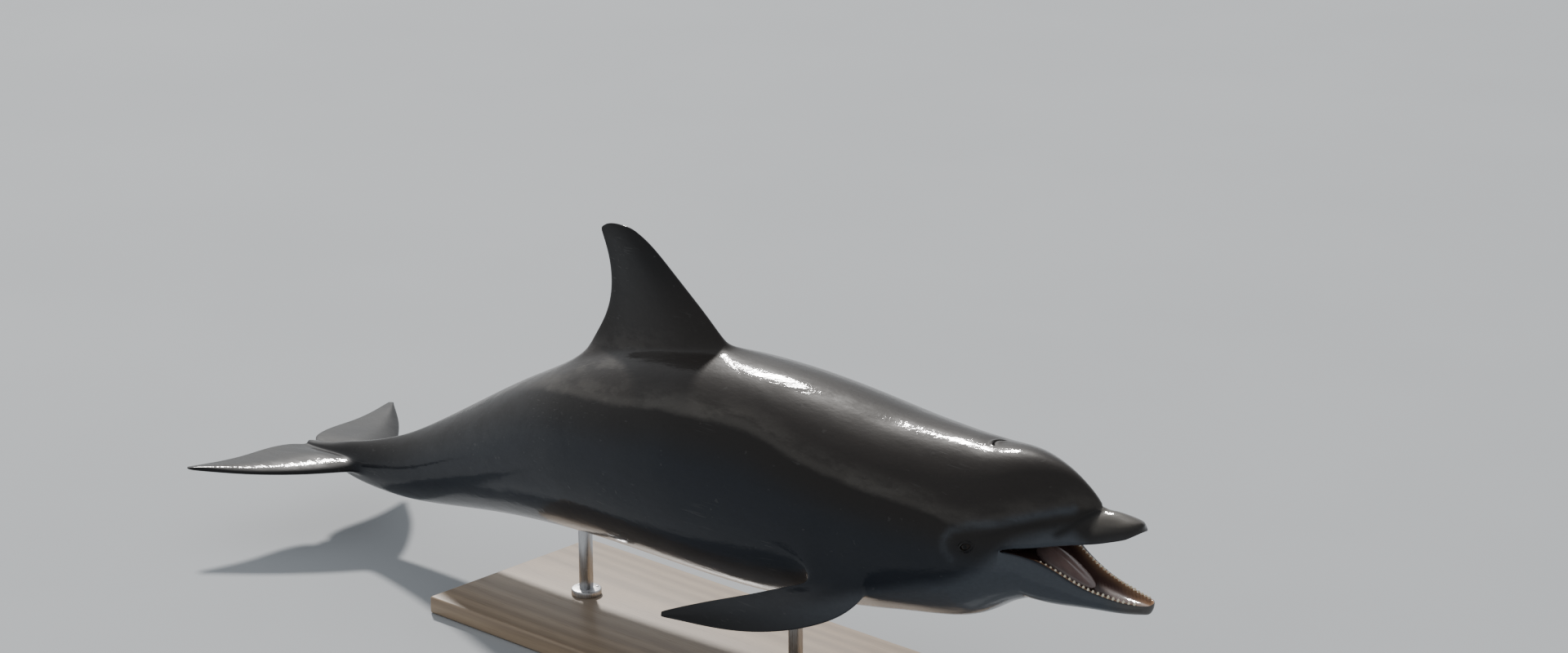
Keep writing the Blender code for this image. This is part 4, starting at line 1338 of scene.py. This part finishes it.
def make_base():
    low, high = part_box("stand_base")
    matrix = Matrix.Translation((low + high) / 2) @ Matrix.Diagonal((*(high - low), 1))
    base = mesh_object("oak_base", lambda b: bmesh.ops.create_cube(b, size=1, matrix=matrix))
    rounded(base, EDGE_RADIUS, 5)
    return put_on(base, oak_look(), "stand_base", "stand_base")


def turned(name, x, outline, sides=64):
    """A solid of revolution on a vertical axis, from (radius, height) pairs."""

    def make(shell):
        rings = [[shell.verts.new((x + radius * math.cos(t), radius * math.sin(t), height))
                  for t in circle(sides)] for radius, height in outline]
        join_rings(shell, rings)
        shell.faces.new(rings[0][::-1])
        shell.faces.new(rings[-1])

    return mesh_object(name, make)


def make_rod(end, steel):
    """A rod, and its collar with three cap screws."""
    low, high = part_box("stand_rod_" + end)
    x, radius = (low.x + high.x) / 2, (high.y - low.y) / 2
    neck = radius - ROD_CHAMFER
    outline = ((neck, low.z), (radius, low.z + ROD_CHAMFER), (radius, high.z - ROD_CHAMFER),
               (neck, high.z))
    put_on(turned("rod_" + end, x, outline), steel, "steel", "stand_rod_" + end)

    low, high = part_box("stand_collar_" + end)
    rim, top_z, step = (high.y - low.y) / 2, high.z, FLANGE_STEP
    outline = ((rim, low.z), (rim, top_z - 2 * step), (rim - 0.3 * step, top_z - step),
               (rim - step, top_z - 0.3 * step), (rim - 2 * step, top_z), (radius, top_z))
    collar = rounded(turned("collar_" + end, x, outline), 0.0004, 2)

    def make(shell):
        for i in range(SCREWS):
            turn = 2 * math.pi * (i + 0.5) / SCREWS
            middle = (rim + radius) / 2
            place = Vector((x + middle * math.cos(turn), middle * math.sin(turn),
                            top_z + SCREW_HEIGHT / 2))
            bmesh.ops.create_cone(shell, segments=24, radius1=SCREW_RADIUS, cap_ends=True,
                                  radius2=SCREW_RADIUS * 0.8, depth=SCREW_HEIGHT,
                                  matrix=Matrix.Translation(place))

    heads = rounded(mesh_object("screws_" + end, make), 0.0003, 2)
    put_on(collar, steel, "steel", "stand_collar_" + end)
    put_on(heads, steel, "steel")


# ---- Studio ----

CAMERA_AIM = Vector((0.209, 0, 0.804))
CAMERA_DISTANCE = 9.04
CAMERA_AZIMUTH, CAMERA_ELEVATION, CAMERA_ROLL = 43.2, 18.0, -0.24  # degrees
FOCAL_LENGTH = 99.0  # mm, on a sensor 36 mm wide
FLOOR_SIZE = 300
KEY_AZIMUTH, KEY_ELEVATION, KEY_BREADTH = 235, 40, 5  # degrees
KEY_STRENGTH = 4.1
KEY_COLOUR = (1.0, 0.97, 0.93)
WORLD_COLOUR = (0.93, 0.965, 1.0)
WORLD_STRENGTH = 0.60


def direction(azimuth, elevation):
    """Unit vector towards something seen at this azimuth and elevation."""
    a, e = math.radians(azimuth), math.radians(elevation)
    return Vector((math.sin(a) * math.cos(e), -math.cos(a) * math.cos(e), math.sin(e)))


def facing(towards):
    """A turn that points an object's z axis somewhere, its top up."""
    return towards.to_track_quat("Z", "Y").to_matrix().to_4x4()


def make_camera():
    data = bpy.data.cameras.new("camera")
    data.lens = FOCAL_LENGTH
    data.sensor_width = 36
    camera = new_object("camera", data)
    back = direction(CAMERA_AZIMUTH, CAMERA_ELEVATION)
    roll = Matrix.Rotation(math.radians(CAMERA_ROLL), 4, "Z")
    place = Matrix.Translation(CAMERA_AIM + back * CAMERA_DISTANCE)
    camera.matrix_world = place @ facing(back) @ roll
    bpy.context.scene.camera = camera


def make_light():
    """One lamp behind the model and to its left, high enough to streak its wet back."""
    data = bpy.data.lights.new("key", "SUN")
    data.angle = math.radians(KEY_BREADTH)
    data.energy = KEY_STRENGTH
    data.color = KEY_COLOUR
    light = new_object("key", data)
    light.matrix_world = facing(direction(KEY_AZIMUTH, KEY_ELEVATION))


def make_studio():
    floor = mesh_object("floor", lambda b: bmesh.ops.create_grid(b, x_segments=1, y_segments=1,
                                                                 size=FLOOR_SIZE / 2))
    floor.data.materials.append(floor_look())
    make_light()
    world = bpy.data.worlds.new("studio")
    world.use_nodes = True
    background = world.node_tree.nodes["Background"]
    background.inputs["Color"].default_value = (*WORLD_COLOUR, 1)
    background.inputs["Strength"].default_value = WORLD_STRENGTH
    bpy.context.scene.world = world


def main():
    make_camera()
    make_studio()
    make_skin()
    make_teeth("teeth_upper", UPPER_TEETH, lambda s: UPPER_ROW * upper_lip(s), lip_z,
               UPPER_TOOTH, lambda point: point)
    make_teeth("teeth_lower", LOWER_TEETH, lambda s: LOWER_ROW * lower_lip(s), lower_lip_z,
               LOWER_TOOTH, opened)
    make_tongue()
    for side, sign in (("left", 1), ("right", -1)):
        make_eye(side, sign)
    make_base()
    steel = steel_look()
    for end in ("front", "rear"):
        make_rod(end, steel)


main()
